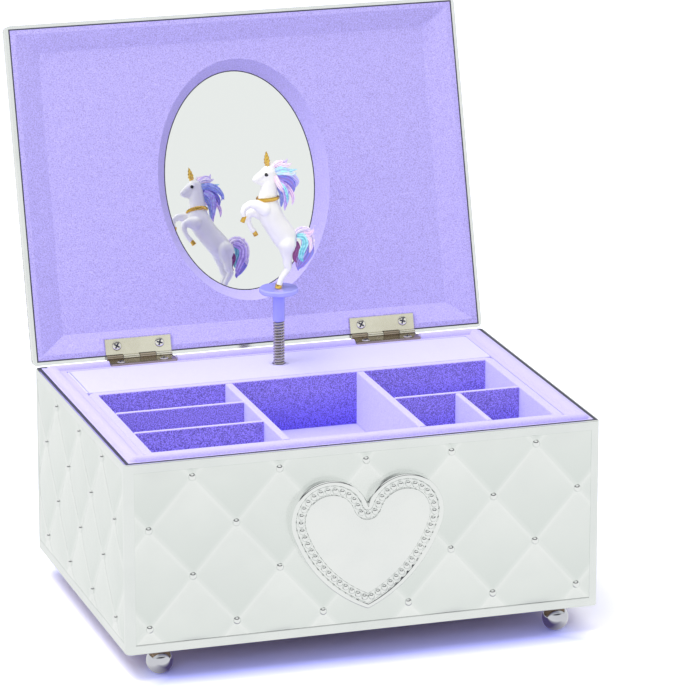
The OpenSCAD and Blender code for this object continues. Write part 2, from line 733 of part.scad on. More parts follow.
module bedplate() {
    low_x = outer_lug_x - 4;
    low_y = post_y - bed_front;
    comb_x = cylinder_end - cylinder_l;
    color(steel) difference() {
        union() {
            translate([low_x, low_y, bed_z]) cube([flange_r + 1 - low_x, bed_back + bed_front, bed_t]);
            lug(cylinder_end + 1, post_y, 5, axis_z + 2);
            lug(inner_lug_x, (post_y + governor_y) / 2, train_gap + 5, governor_z + 2);
            lug(outer_lug_x, governor_y, 5, governor_z + 2);
            translate([comb_x, post_y - comb_tip - tooth_l - comb_base_l, bed_top - eps])
                cube([cylinder_l, comb_base_l, axis_z - comb_t / 2 - bed_top + eps]);
        }
        translate([0, post_y, 0]) cylinder(r = arbor_r + fit, h = bed_top + 1);
        at_bed_screws() cylinder(r = bed_screw_r + fit, h = bed_top + 1);
        on_arbor(inner_lug_x - lug_t, post_y, axis_z)
            cylinder(r = thin_arbor_r + fit, h = cylinder_end + 4 - inner_lug_x);
        on_arbor(outer_lug_x - lug_t, governor_y, governor_z)
            cylinder(r = thin_arbor_r + fit, h = inner_lug_x - outer_lug_x + 2 * lug_t);
        translate([worm_x, worm_y, bed_top - 1]) cylinder(r = thin_arbor_r + fit, h = 2);
        at_comb_screws() translate([0, 0, -6]) cylinder(r = bed_screw_r - 0.3 + fit, h = 7);
    }
}

module pan_screw(head_r, shank_r, head_h, length) {
    difference() {
        union() {
            cylinder(r = head_r, h = head_h);
            translate([0, 0, -length]) cylinder(r = shank_r, h = length + eps);
        }
        translate([0, 0, head_h]) cube([2 * head_r + 1, head_r * 0.3, head_h], center = true);
    }
}

module bedplate_screws() {
    color(steel) at_bed_screws() translate([0, 0, bed_top])
        pan_screw(2 * bed_screw_r, bed_screw_r, 1.2, bed_t + base_t - 0.5);
}

module governor_bracket() {
    arm_z = fly_z + fly_h + 0.8;
    back = worm_y - fly_r - 0.6;
    color(steel) difference() {
        union() {
            translate([worm_x - 2.5, back - lug_t, bed_top]) cube([5, lug_t, arm_z + lug_t - bed_top]);
            translate([worm_x - 2.5, back - lug_t - 2.5, bed_top]) cube([5, 2.5 + lug_t, 1]);
            translate([worm_x - 2.5, back - lug_t, arm_z]) cube([5, fly_r + 0.6 + lug_t + 2, lug_t]);
        }
        translate([worm_x, worm_y, arm_z - 1]) cylinder(r = thin_arbor_r + fit, h = lug_t + 2);
    }
}

module comb() {
    slot = 0.25;
    pitch = cylinder_l / comb_teeth;
    color(steel) difference() {
        translate([cylinder_end - cylinder_l, post_y - comb_tip, axis_z - comb_t / 2])
            linear_extrude(comb_t) {
                translate([0, -tooth_l - comb_base_l]) square([cylinder_l, comb_base_l]);
                for (k = [0 : comb_teeth - 1])
                    translate([k * pitch + slot / 2, -tooth_l - eps]) square([pitch - slot, tooth_l + eps]);
            }
        at_comb_screws() translate([0, 0, -comb_t - 1]) cylinder(r = bed_screw_r - 0.3 + fit, h = comb_t + 2);
    }
}

module comb_screws() {
    color(brass_yellow) at_comb_screws() pan_screw(1.6, bed_screw_r - 0.3, 1, 5);
}

clutch_wire = 0.6;
clutch_turns = 4;
module clutch_spring() {
    coil_r = arbor_r + fit + clutch_wire / 2;
    pitch = clutch_wire + 0.05;
    color(steel) translate([0, post_y, bed_z - clutch_turns * pitch]) {
        for (k = [0 : clutch_turns - 1]) translate([0, 0, (k + 0.5) * pitch])
            rotate_extrude() translate([coil_r, 0]) circle(clutch_wire / 2);
        translate([coil_r + clutch_wire / 2, 0, pitch / 2])
            cylinder(r = clutch_wire / 2, h = (clutch_turns - 0.5) * pitch);
    }
}

module spring_barrel() {
    cover = flange_z + 1;
    color(steel) translate([0, post_y, 0]) {
        difference() {
            union() {
                translate([0, 0, flange_z]) cylinder(r = flange_r, h = flange_t);
                translate([0, 0, flange_z]) cylinder(r = drum_r, h = barrel_top - flange_z);
                translate([0, 0, barrel_top - eps]) cylinder(r = spindle_r + 1.2, h = 2.5);
                for (k = [0 : crown_teeth - 1]) rotate(k * 360 / crown_teeth) crown_tooth();
            }
            translate([0, 0, flange_z - 1]) cylinder(r = arbor_r + fit, h = 3);
            translate([0, 0, cover]) cylinder(r = drum_r - barrel_wall, h = barrel_top - 1 - cover);
            translate([0, 0, barrel_top]) cylinder(r = spindle_r + fit, h = 4);
        }
    }
}

module crown_tooth() {
    inner = drum_r - 0.2;
    step = 2 * PI * crown_r / crown_teeth;
    translate([inner, 0, flange_z + flange_t]) rotate([90, 0, 90]) linear_extrude(flange_r - inner)
        polygon([[-step * 0.26, -eps], [step * 0.26, -eps], [step * 0.1, crown_tooth_h], [-step * 0.1, crown_tooth_h]]);
}

spring_strip = 0.3;
spring_turns = 6;
module mainspring() {
    inner = arbor_r + 0.65 + spring_strip / 2;
    outer = drum_r - barrel_wall - spring_strip / 2 - 0.05;
    steps = 24 * spring_turns;
    function strip(side, k) = (inner + (outer - inner) * k / steps + side * spring_strip / 2)
        * [cos(k * 15), sin(k * 15)];
    color(steel) translate([0, post_y, flange_z + 1.4]) linear_extrude(barrel_top - flange_z - 2.8)
        polygon(concat([for (k = [0 : steps]) strip(-1, k)], [for (k = [steps : -1 : 0]) strip(1, k)]));
}

module drive_spindle() {
    peg_r = spring_dia / 2 - wire_t - 0.08;
    color(steel) translate([0, post_y, 0]) {
        translate([0, 0, barrel_top]) cylinder(r = spindle_r, h = spring_floor - shoulder_h - barrel_top + eps);
        translate([0, 0, spring_floor - shoulder_h]) cylinder(r = spring_dia / 2, h = shoulder_h);
        translate([0, 0, spring_floor - eps]) cylinder(r = peg_r, h = spring_seat + 1);
    }
}

module winding_arbor() {
    key_end = key_hub_z + 1;
    color(steel) translate([0, post_y, 0]) {
        translate([0, 0, -0.4]) cylinder(r = arbor_r, h = flange_z + 1.8);
        translate([0, 0, key_end]) cylinder(r = arbor_r - 0.5, h = -key_end);
        translate([0, 0, flange_z + 1.2]) cylinder(r = arbor_r + 0.6, h = barrel_top - flange_z - 2.4);
    }
}

key_hub_z = -6.6;
key_hub_r = 3;
key_wing_t = 1.6;
module winding_key() {
    lobe = 3 / 22 * key_w;
    color(brass_yellow) translate([0, post_y, 0]) difference() {
        union() {
            translate([0, 0, key_hub_z]) cylinder(r = key_hub_r, h = -key_hub_z - 0.4);
            translate([0, key_wing_t / 2, key_hub_z + lobe - 0.6]) rotate([90, 0, 0]) linear_extrude(key_wing_t) {
                for (s = [-1, 1]) difference() {
                    translate([s * (key_w / 2 - lobe), 0]) circle(lobe);
                    translate([s * (key_w / 2 - lobe), 0]) circle(lobe * 0.43);
                }
                square([key_w - 4 * lobe + 1, lobe + 0.2], center = true);
            }
        }
        translate([0, 0, key_hub_z + 1]) cylinder(r = arbor_r - 0.5 + fit, h = -key_hub_z + 2);
    }
}

module pinned_cylinder() {
    mid = cylinder_end - cylinder_l / 2;
    pitch = cylinder_l / comb_teeth;
    pinion_l = 1.5;
    color(brass_yellow) {
        on_arbor(mid - cylinder_l / 2, post_y, axis_z) difference() {
            cylinder(r = cylinder_r, h = cylinder_l);
            for (z = [-eps, cylinder_l - 2 + eps]) translate([0, 0, z]) difference() {
                cylinder(r = cylinder_r - 0.8, h = 2);
                translate([0, 0, -1]) cylinder(r = 2, h = 4);
            }
        }
        for (i = [0 : comb_teeth - 1], k = [0 : 2])
            on_arbor(mid - cylinder_l / 2 + (i + 0.5) * pitch, post_y, axis_z)
                rotate(i * 137.5 + k * (95 + 7 * (i % 4)))
                    translate([cylinder_r - pin_h, -pin_w / 2, -pin_w / 2]) cube([2 * pin_h, pin_w, pin_w]);
        on_arbor(inner_lug_x - lug_t / 2 - 0.5, post_y, axis_z)
            cylinder(r = thin_arbor_r, h = -drum_r - 0.9 - inner_lug_x + lug_t);
        on_arbor(-crown_r - pinion_l / 2, post_y, axis_z) rotate(180 / pinion_teeth)
            linear_extrude(pinion_l) gear_outline(pinion_teeth, crown_m, 0.26, 0.09);
        on_arbor(wheel_x, post_y, axis_z) rotate(270 - train_rise)
            linear_extrude(1.4) gear_outline(end_wheel_teeth, train_m, 0.24, 0.09);
    }
}

module governor_wheel() {
    color(brass_yellow) {
        on_arbor(outer_lug_x - lug_t / 2 - 0.5, governor_y, governor_z)
            cylinder(r = thin_arbor_r, h = wheel_x + 2 - outer_lug_x + lug_t);
        on_arbor(wheel_x - 0.2, governor_y, governor_z) rotate(90 - train_rise + 180 / governor_pinion_teeth)
            linear_extrude(1.8) gear_outline(governor_pinion_teeth, train_m, 0.26, 0.08);
        on_arbor(worm_x - 0.6, governor_y, governor_z) rotate(270)
            linear_extrude(1.2) gear_outline(worm_wheel_teeth, worm_m, 0.22, 0.07);
    }
}

module governor_fly() {
    start = governor_z - worm_l / 2;
    color(steel) translate([worm_x, worm_y, 0]) {
        translate([0, 0, bed_top - 0.5]) cylinder(r = thin_arbor_r, h = fly_z + fly_h + 1.4 - bed_top);
        translate([0, 0, start]) rotate(-360 * worm_l / 2 / worm_lead)
            linear_extrude(worm_l, twist = -360 * worm_l / worm_lead, slices = 18, $fn = 12) polygon([
                for (s = [0, 180], a = [[-90, 1], [-60, 1], [-34, 1.05], [-14, 2], [14, 2], [34, 1.05], [60, 1]])
                    a[1] * [cos(s + a[0]), sin(s + a[0])]
            ]);
        translate([-fly_r, -0.2, fly_z]) cube([2 * fly_r, 0.4, fly_h]);
    }
}

// ---- figure and spring post ----
stand_z = case_h + spring_show;
platform_z = stand_z + stem_l;
figure_z = platform_z + platform_t;

// A closed tube that follows a helix, its flat ends closed off
module helix(radius, wire, height, turns, steps, sides) {
    count = turns * steps;
    rise = (height - wire) / count;
    points = [for (k = [0 : count], s = [0 : sides - 1])
        let (a = k * 360 / steps, b = s * 360 / sides, r = radius + wire / 2 * cos(b))
        [r * cos(a), r * sin(a), wire / 2 + k * rise + wire / 2 * sin(b)]];
    faces = concat(
        [for (k = [0 : count - 1], s = [0 : sides - 1])
            let (t = (s + 1) % sides) [k * sides + s, k * sides + t, (k + 1) * sides + t, (k + 1) * sides + s]],
        [[for (s = [sides - 1 : -1 : 0]) s], [for (s = [0 : sides - 1]) count * sides + s]]);
    polyhedron(points = points, faces = faces, convexity = 10);
}

module coil_spring() {
    height = spring_seat + spring_show;
    color(steel) translate([0, post_y, case_h - spring_seat])
        helix(spring_dia / 2 - wire_t / 2, wire_t, height, floor(height / (wire_t + 0.07)), 9, 5);
}

module figure_stand() {
    peg_r = spring_dia / 2 - wire_t - 0.08;
    edge = 0.4;
    color(periwinkle) translate([0, post_y, 0]) rotate_extrude() polygon([
        [0, stand_z - 3], [peg_r, stand_z - 3], [peg_r, stand_z], [spring_dia / 2, stand_z],
        [spring_dia / 2, platform_z], [platform_dia / 2 - edge, platform_z],
        [platform_dia / 2, platform_z + edge], [platform_dia / 2, figure_z - edge],
        [platform_dia / 2 - edge, figure_z], [0, figure_z]
    ]);
}

// A limb through a row of balls, each given as [x, y, z, radius]
module limb(balls, sides) {
    for (k = [0 : len(balls) - 2]) hull() {
        translate([balls[k][0], balls[k][1], balls[k][2]]) sphere(balls[k][3], $fn = sides);
        translate([balls[k + 1][0], balls[k + 1][1], balls[k + 1][2]]) sphere(balls[k + 1][3], $fn = sides);
    }
}

module hoof_leg(balls, shift_x, y) {
    last = balls[len(balls) - 1];
    translate([shift_x, y, 0]) {
        limb(balls, 8);
        hull() {
            translate([last[0], 0, last[2]]) sphere(last[3], $fn = 8);
            translate([last[0] - 0.5, 0, 0]) cylinder(r = 1.1, h = 1.2, $fn = 12);
        }
    }
}

module unicorn() {
    torso = [[-3.7, 0, 25.9, 3.9], [-1.4, 0, 21.5, 3.4], [2.1, 0, 17.3, 4.1]];
    neck = [[-3.6, 0, 28.6, 3.3], [-2.6, 0, 32.7, 2.7], [-2.3, 0, 37, 2.1]];
    head = [[-3, 0, 38.9, 2.4], [-6.5, 0, 37.9, 1.4], [-7.5, 0, 37.6, 1.1]];
    hind_leg = [[2.6, 0, 15.5, 2.9], [2.8, 0, 11, 1.8], [3.3, 0, 7.2, 1.2], [1.4, 0, 4, 0.9], [0.3, 0, 2, 0.9]];
    raised_leg = [[-6.3, -1.8, 26.8, 1.9], [-10.2, -2, 28.6, 1.2], [-12.4, -2, 27, 0.95],
        [-11.7, -2, 25.2, 0.8], [-12.3, -2, 23.6, 0.9]];
    bent_leg = [[-6.3, 1.8, 25.6, 1.9], [-9.6, 2, 26.3, 1.1], [-9.4, 2, 22.6, 0.8],
        [-8.3, 2, 20.2, 0.75], [-7.2, 2, 19.3, 0.9]];
    locks = [
        [[-1.8, 0, 42.1, 1], [0.7, 0.3, 43.1, 0.9], [2.7, 0.3, 44.5, 0.3]],
        [[-1, 0, 40.7, 1.3], [2.1, -0.4, 41.4, 1.1], [4.6, -0.5, 42.1, 0.35]],
        [[-1.4, 0, 39.7, 1.4], [2.8, 0.2, 39.7, 1.2], [6.3, 0.3, 40, 0.35]],
        [[-0.7, 0, 37.9, 1.5], [3.9, 0, 38.2, 1.3], [6.1, 0, 36.4, 1], [6, 0, 34.4, 0.35]],
        [[-0.4, 0, 35.5, 1.6], [3.2, 0.5, 35.1, 1.2], [5.3, 0.6, 32.7, 0.9], [4.2, 0.6, 29.9, 0.35]],
        [[-0.4, 0, 33.4, 1.6], [2.1, -0.5, 32, 1.3], [2.7, -0.7, 29.2, 1], [1.8, -0.7, 27.4, 0.35]],
        [[5.4, 0, 18, 1.2], [8.6, 0, 18.9, 1.4], [10.4, 0, 17, 1.6], [10.4, 0, 13.8, 1.8],
            [9.2, 0, 11, 1.8], [7.7, 0, 8.9, 1.4], [7, 0, 6.3, 0.5]]
    ];
    drawn_h = 47.65;
    color("white") translate([0, post_y, figure_z]) scale(figure_h / drawn_h) {
        limb(torso, 14);
        limb(neck, 12);
        limb(head, 12);
        hoof_leg(hind_leg, 0, -1.5);
        hoof_leg(hind_leg, 0.9, 1.5);
        limb(raised_leg, 8);
        limb(bent_leg, 8);
        limb([[-2.6, -0.9, 41, 0.9], [-1.9, -1.1, 43.6, 0.3]], 8);
        limb([[-2.6, 0.9, 41, 0.9], [-1.9, 1.1, 43.6, 0.3]], 8);
        limb([[-3.7, 0, 40.6, 0.9], [-4.15, 0, 47.5, 0.15]], 8);
        for (lock = locks) limb(lock, 8);
    }
}

// ---- hinges ----
knuckle_l = leaf_w / 4;
hinge_screw_head = 1.55;
hinge_screw_r = 0.7;
hinge_screw_l = 6;
screw_line = 4;                          // distance of the screws from the pin
leaf_room = 0.4;                         // how far a pocket or pad reaches past a leaf

module at_hinges() {
    for (s = [-1, 1]) translate([s * hinge_span / 2, hinge_y, hinge_z]) children();
}

// One hinge leaf round its pin at the origin: side -1 lies on the case, 1 on the closed lid
module hinge_leaf(side) {
    gap = 0.1;
    first = side < 0 ? 0 : 1;
    low_z = side < 0 ? -lid_gap / 2 : lid_gap / 2 - leaf_t;
    color(brass_yellow) difference() {
        union() {
            translate([-leaf_w / 2, -leaf_l, low_z]) cube([leaf_w, leaf_l - knuckle_r - 0.15, leaf_t]);
            for (k = [first, first + 2]) translate([-leaf_w / 2 + k * knuckle_l + gap, 0, 0]) {
                translate([0, -leaf_l / 2, low_z]) cube([knuckle_l - 2 * gap, leaf_l / 2, leaf_t]);
                rotate([0, 90, 0]) cylinder(r = knuckle_r, h = knuckle_l - 2 * gap);
            }
        }
        rotate([0, 90, 0]) cylinder(r = pin_r + fit, h = leaf_w + 2, center = true);
        at_leaf_screws(side) screw_hole(hinge_screw_head, hinge_screw_r, hinge_screw_l);
    }
}

module at_leaf_screws(side) {
    for (x = [-1, 1]) translate([x * screw_span / 2, -screw_line, side * (lid_gap / 2 - leaf_t)])
        rotate([side < 0 ? 0 : 180, 0, 0]) children();
}

module hinge_pin() { color(steel) rotate([0, 90, 0]) cylinder(r = pin_r, h = leaf_w, center = true); }

module at_case_hinge_screws() { at_hinges() at_leaf_screws(-1) children(); }

module at_lid_hinge_screws() { at_hinges() at_leaf_screws(1) children(); }

module at_left_hinge() { translate([-hinge_span / 2, hinge_y, hinge_z]) children(); }

module at_right_hinge() { translate([hinge_span / 2, hinge_y, hinge_z]) children(); }

module left_hinge_case_leaf() { at_left_hinge() hinge_leaf(-1); }

module right_hinge_case_leaf() { at_right_hinge() hinge_leaf(-1); }

module left_hinge_lid_leaf() { on_lid() at_left_hinge() hinge_leaf(1); }

module right_hinge_lid_leaf() { on_lid() at_right_hinge() hinge_leaf(1); }

module left_hinge_pin() { at_left_hinge() hinge_pin(); }

module right_hinge_pin() { at_right_hinge() hinge_pin(); }

module case_hinge_screws() {
    color(steel) at_case_hinge_screws() screw(hinge_screw_head, hinge_screw_r, hinge_screw_l);
}

module lid_hinge_screws() {
    color(steel) on_lid() at_lid_hinge_screws() screw(hinge_screw_head, hinge_screw_r, hinge_screw_l);
}

// ---- lid, drawn closed with its rim at lid_z ----
shell_low = lid_edge_h - 0.5;            // where the inside of the slope starts
shell_top = lid_h - lid_wall;            // underside of the lid's roof
top_in = lid_inset + 0.3 * lid_wall;
lid_seat = 0.7;

// How far the inside of the lid's metal is set in at a height over the rim
function inside_at(z) = z <= shell_low ? lid_wall
    : lid_wall + (top_in - lid_wall) * (z - shell_low) / (shell_top - shell_low);

// A block that fills the lid's inside between two heights, less a gap
module lid_fill(z1, z2, gap) {
    a = inside_at(z1) + gap;
    b = inside_at(z2) + gap;
    frustum(case_w - 2 * a, case_d - 2 * a, case_w - 2 * b, case_d - 2 * b, z1, z2);
}

module in_lid() { on_lid() translate([0, 0, lid_z]) children(); }

module lid_shell() {
    thin = 0.05;
    color(silver) in_lid() difference() {
        union() {
            slab(case_w, case_d, corner_r, 0, lid_edge_h);
            hull() {
                slab(case_w, case_d, corner_r, lid_edge_h - thin, thin);
                slab(lid_top_w, lid_top_d, corner_r, lid_h - thin, thin);
            }
        }
        translate([0, 0, -1]) linear_extrude(shell_low + 1 + eps)
            square([case_w - 2 * lid_wall, case_d - 2 * lid_wall], center = true);
        lid_fill(shell_low, shell_top, 0);
        translate([-lid_plate_w / 2, -lid_plate_d / 2, lid_h - lid_seat]) cube([lid_plate_w, lid_plate_d, 2]);
    }
}

module lid_quilt() {
    color(silver) in_lid() translate([0, 0, lid_h - lid_seat])
        quilt_plate(lid_plate_w - seat_gap, lid_plate_d - seat_gap, 0, 0);
}

module lid_studs() {
    color(silver) in_lid() translate([0, 0, lid_h - lid_seat]) studs_at(lid_plate_studs);
}

mirror_lap = 3;                          // how far the mirror reaches behind the lining

module oval(w, l, z, h) {
    translate([0, 0, z]) scale([1, l / w, 1]) cylinder(d = w, h = h, $fn = 72);
}

module lid_board() {
    color(wood_tan) in_lid() difference() {
        lid_fill(mirror_depth, shell_top - 0.05, seat_gap);
        oval(mirror_w + 2 * mirror_lap + 0.2, mirror_l + 2 * mirror_lap + 0.2, mirror_depth - 1, mirror_t + 1.05);
    }
}

module lid_mirror() {
    color([0.92, 0.94, 0.93]) in_lid()
        oval(mirror_w + 2 * mirror_lap, mirror_l + 2 * mirror_lap, mirror_depth, mirror_t);
}

module lid_lining() {
    thin = 0.05;
    rim_in = lid_wall + lid_rim;
    color(deep_lavender) in_lid() difference() {
        union() {
            difference() {
                union() {
                    lid_fill(0, shell_low, seat_gap);
                    lid_fill(shell_low, mirror_depth, seat_gap);
                }
                frustum(case_w - 2 * rim_in, case_d - 2 * rim_in, case_w - 2 * rim_in - 2 * bevel_x,
                    case_d - 2 * rim_in - 2 * bevel_y, -eps, bevel_depth);
                hull() {
                    oval(mirror_w + 2 * mirror_slope, mirror_l + 2 * mirror_slope, bevel_depth - thin, thin);
                    oval(mirror_w, mirror_l, mirror_depth, thin);
                }
            }
            for (s = [-1, 1])
                translate([s * hinge_span / 2 - leaf_w / 2 - leaf_room, hinge_y - leaf_l - leaf_room, 0])
                    cube([leaf_w + 2 * leaf_room, leaf_l - rim_in + 1, bevel_depth + 0.5]);
        }
        translate([0, 0, -lid_z]) at_lid_hinge_screws() screw_hole(hinge_screw_head, hinge_screw_r, hinge_screw_l);
    }
}

case_shell();
front_quilt();
back_quilt();
left_quilt();
right_quilt();
case_studs();
heart_plate();
heart_beads();
base_board();
base_screws();
foot_front_left();
foot_front_right();
foot_back_left();
foot_back_right();
lower_core();
shelf_board();
upper_core();
lining_frame();
deck_box();
deck_bush();
tray_floor();
tray_wall_ring();
left_divider();
right_divider();
back_row_divider();
front_row_divider();
cross_divider();
small_divider();
bedplate();
bedplate_screws();
governor_bracket();
comb();
comb_screws();
clutch_spring();
spring_barrel();
mainspring();
drive_spindle();
winding_arbor();
winding_key();
pinned_cylinder();
governor_wheel();
governor_fly();
coil_spring();
figure_stand();
unicorn();
left_hinge_case_leaf();
left_hinge_lid_leaf();
left_hinge_pin();
right_hinge_case_leaf();
right_hinge_lid_leaf();
right_hinge_pin();
case_hinge_screws();
lid_hinge_screws();
lid_shell();
lid_quilt();
lid_studs();
lid_board();
lid_lining();
lid_mirror();
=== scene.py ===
"""A wind-up music box: quilted silver case, flocked tray and lid, mirror, and a unicorn on a spring post."""
import json
import math

import bmesh
import bpy
from mathutils import Matrix, Vector


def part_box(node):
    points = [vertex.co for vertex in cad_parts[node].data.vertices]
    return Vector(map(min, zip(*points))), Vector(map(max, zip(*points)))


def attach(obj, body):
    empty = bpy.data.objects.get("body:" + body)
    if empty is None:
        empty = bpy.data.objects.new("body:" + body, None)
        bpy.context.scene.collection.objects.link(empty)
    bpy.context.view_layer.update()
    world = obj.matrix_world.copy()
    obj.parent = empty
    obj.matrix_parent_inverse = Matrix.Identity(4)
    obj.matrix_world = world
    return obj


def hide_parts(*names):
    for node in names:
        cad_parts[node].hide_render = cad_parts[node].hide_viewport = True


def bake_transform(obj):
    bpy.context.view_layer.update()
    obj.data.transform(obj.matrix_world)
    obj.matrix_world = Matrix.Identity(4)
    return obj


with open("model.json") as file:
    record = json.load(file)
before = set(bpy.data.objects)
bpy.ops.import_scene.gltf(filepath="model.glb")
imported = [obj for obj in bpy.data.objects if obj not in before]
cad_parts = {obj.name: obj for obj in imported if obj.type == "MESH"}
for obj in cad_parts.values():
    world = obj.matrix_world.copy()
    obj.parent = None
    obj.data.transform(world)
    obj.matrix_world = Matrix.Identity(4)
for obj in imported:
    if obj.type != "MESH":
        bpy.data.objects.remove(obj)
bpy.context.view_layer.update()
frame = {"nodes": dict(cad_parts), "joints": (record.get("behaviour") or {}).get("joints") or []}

NODES = frame["nodes"]
MM = 0.001

# ---- sizes shared by the pieces, in millimetres ----
STUD_PITCH = 28.9
ROW_PITCH = 16.5
FIRST_ROW = 24.6
PILLOW = 1.35
CREASE_LEVEL = 1.2
QUILT_SEAT = 1.4
CASE_W, CASE_D, CASE_H = (v / MM for v in (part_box("case_shell")[1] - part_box("case_shell")[0]))
PLATE_MID = CASE_H / 2
POST_Y = (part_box("figure_stand")[0].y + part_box("figure_stand")[1].y) / 2 / MM
PLATFORM_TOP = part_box("figure_stand")[1].z / MM
HINGE = Vector(frame["joints"][0]["pos_m"]) / MM
LID_OPEN = math.radians(frame["joints"][0]["range_deg"][1])
FLOOR_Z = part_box("foot_front_left")[0].z
LID_GAP = 2
LID_WALL = 1.2
LID_PLATE_LEVEL, LID_PLATE_L = 11.9, 90.5
MIRROR_W, MIRROR_L, MIRROR_DEPTH = 53.6, 75.6, 8.9
SCREW_SPAN, SCREW_LINE, SCREW_DROP = 15, 4, 0.3
HEAD_R, HEAD_H = 1.5, 0.26
CROSS_SIZE, CROSS_LEVEL = (2.1, 0.55, 0.2), 0.17
WIRE, COIL_TURNS, COIL_STEPS = 0.8, 18, 28


# ---------------- small helpers
def new_object(name, data):
    thing = bpy.data.objects.new(name, data)
    bpy.context.scene.collection.objects.link(thing)
    return thing


def turned(degrees, axis):
    return Matrix.Rotation(math.radians(degrees), 4, axis)


def pointing(start, end):
    """Turns the Z axis to run from start to end."""
    return (end - start).to_track_quat("Z", "Y").to_matrix().to_4x4()


def set_inputs(node, values):
    for label, value in values.items():
        node.inputs[label].default_value = value


def feed(tree, value, socket):
    """Puts a number, a colour or another node's output into a socket."""
    if isinstance(value, (int, float)):
        socket.default_value = value
    elif isinstance(value, tuple):
        socket.default_value = (*value, 1)
    else:
        tree.links.new(value, socket)


def add_math(tree, operation, *values):
    node = tree.nodes.new("ShaderNodeMath")
    node.operation = operation
    for socket, value in zip(node.inputs, values):
        feed(tree, value, socket)
    return node.outputs[0]


def split_axes(tree, vector):
    split = tree.nodes.new("ShaderNodeSeparateXYZ")
    tree.links.new(vector, split.inputs[0])
    return split.outputs


def object_point(tree):
    return tree.nodes.new("ShaderNodeTexCoord").outputs["Object"]


def mix_shaders(tree, factor, first, second):
    node = tree.nodes.new("ShaderNodeMixShader")
    for socket, value in zip(node.inputs, (factor, first, second)):
        tree.links.new(value, socket)
    return node.outputs[0]


# ---------------- camera, lamps and floor
def add_camera():
    data = bpy.data.cameras.new("camera")
    data.lens = 241.7
    data.sensor_width = 36
    data.clip_end = 20
    camera = new_object("camera", data)
    looks_down, looks_right = 16.11, 17.8
    camera.location = (-0.4371, -1.3908, 0.5019)
    camera.rotation_euler = (math.radians(90 - looks_down), 0, math.radians(-looks_right))
    bpy.context.scene.camera = camera


def add_softbox(name, place, aim, size, power):
    data = bpy.data.lights.new(name, "AREA")
    data.shape = "SQUARE"
    data.size = size
    data.energy = power
    lamp = new_object(name, data)
    lamp.location = place
    lamp.rotation_euler = (Vector(aim) - Vector(place)).to_track_quat("-Z", "Y").to_euler()
    lamp.visible_glossy = False


def light_world():
    """Plain soft light all round. Metal sees a pale room with a dark strip high up in front,
    and the background is white."""
    world = bpy.data.worlds.new("pale_room")
    bpy.context.scene.world = world
    world.use_nodes = True
    tree = world.node_tree
    tree.nodes.clear()
    out = tree.nodes.new("ShaderNodeOutputWorld")
    path = tree.nodes.new("ShaderNodeLightPath")
    coord = tree.nodes.new("ShaderNodeTexCoord")

    def background(colour, strength):
        node = tree.nodes.new("ShaderNodeBackground")
        set_inputs(node, {"Color": (*colour, 1), "Strength": strength})
        return node.outputs[0]

    # the dark strip: a band of heights on the front half of the room, with soft edges
    axes = split_axes(tree, coord.outputs["Generated"])
    above = add_range(tree, axes["Z"], 0.46, 0.56, 0, 1)
    below = add_range(tree, axes["Z"], 0.72, 0.86, 1, 0)
    in_front = add_range(tree, axes["Y"], 0.0, 0.22, 1, 0)
    strip = add_math(tree, "MULTIPLY", in_front, add_math(tree, "MULTIPLY", above, below))
    ambient = background((0.98, 0.98, 1.0), 0.78)
    seen = background((1, 1, 1), 1.0)
    room = background((0.97, 0.985, 0.975), 0.92)
    dark = background((0.06, 0.06, 0.07), 1.0)
    lit = mix_shaders(tree, path.outputs["Is Glossy Ray"], ambient, mix_shaders(tree, strip, room, dark))
    lit = mix_shaders(tree, path.outputs["Is Transmission Ray"], lit, room)
    shown = mix_shaders(tree, path.outputs["Is Camera Ray"], lit, seen)
    tree.links.new(shown, out.inputs["Surface"])


def lay_floor():
    """A white table whose real shadow keeps a violet tint, with a painted violet shadow under the box."""
    shape = bmesh.new()
    bmesh.ops.create_grid(shape, x_segments=1, y_segments=1, size=3)
    bmesh.ops.translate(shape, verts=shape.verts, vec=(0, 0, FLOOR_Z))
    mesh = bpy.data.meshes.new("table")
    shape.to_mesh(mesh)
    shape.free()
    table = new_object("table", mesh)
    material = bpy.data.materials.new("table_white")
    material.use_nodes = True
    tree = material.node_tree
    tree.nodes.clear()
    out = tree.nodes.new("ShaderNodeOutputMaterial")
    path = tree.nodes.new("ShaderNodeLightPath")
    plain = tree.nodes.new("ShaderNodeBsdfDiffuse")
    plain.inputs["Color"].default_value = (0.82, 0.82, 0.84, 1)
    tinted = tree.nodes.new("ShaderNodeBsdfDiffuse")
    # painted shadow: for the eye the table is tinted and dim under the box, and for metal it is pale all
    # round with a painted dark patch under the box; under holds these painted shadow colours
    reach = tree.nodes.new("ShaderNodeVectorMath")
    reach.operation = "DIVIDE"
    tree.links.new(object_point(tree), reach.inputs[0])
    reach.inputs[1].default_value = (0.82 * CASE_W * MM / 2, CASE_D * MM / 2, 1)
    sides = split_axes(tree, reach.outputs[0])
    widest = add_math(tree, "MAXIMUM", *(add_math(tree, "ABSOLUTE", sides[axis]) for axis in ("X", "Y")))
    mirrored = tree.nodes.new("ShaderNodeEmission")
    for shader, nearer, further, under, open_table in (
        (mirrored, 0.98, 1.16, (0.1, 0.08, 0.2), (0.9, 0.915, 0.905)),
        (tinted, 1.0, 1.25, (0.62, 0.66, 1.36), (1.4, 1.4, 1.6)),
    ):
        clear = add_range(tree, widest, nearer, further, 0, 1)
        tree.links.new(mix_colours(tree, clear, under, open_table), shader.inputs["Color"])
    shown = mix_shaders(tree, path.outputs["Is Camera Ray"], plain.outputs[0], tinted.outputs[0])
    shown = mix_shaders(tree, path.outputs["Is Glossy Ray"], shown, mirrored.outputs[0])
    tree.links.new(shown, out.inputs["Surface"])
    mesh.materials.append(material)


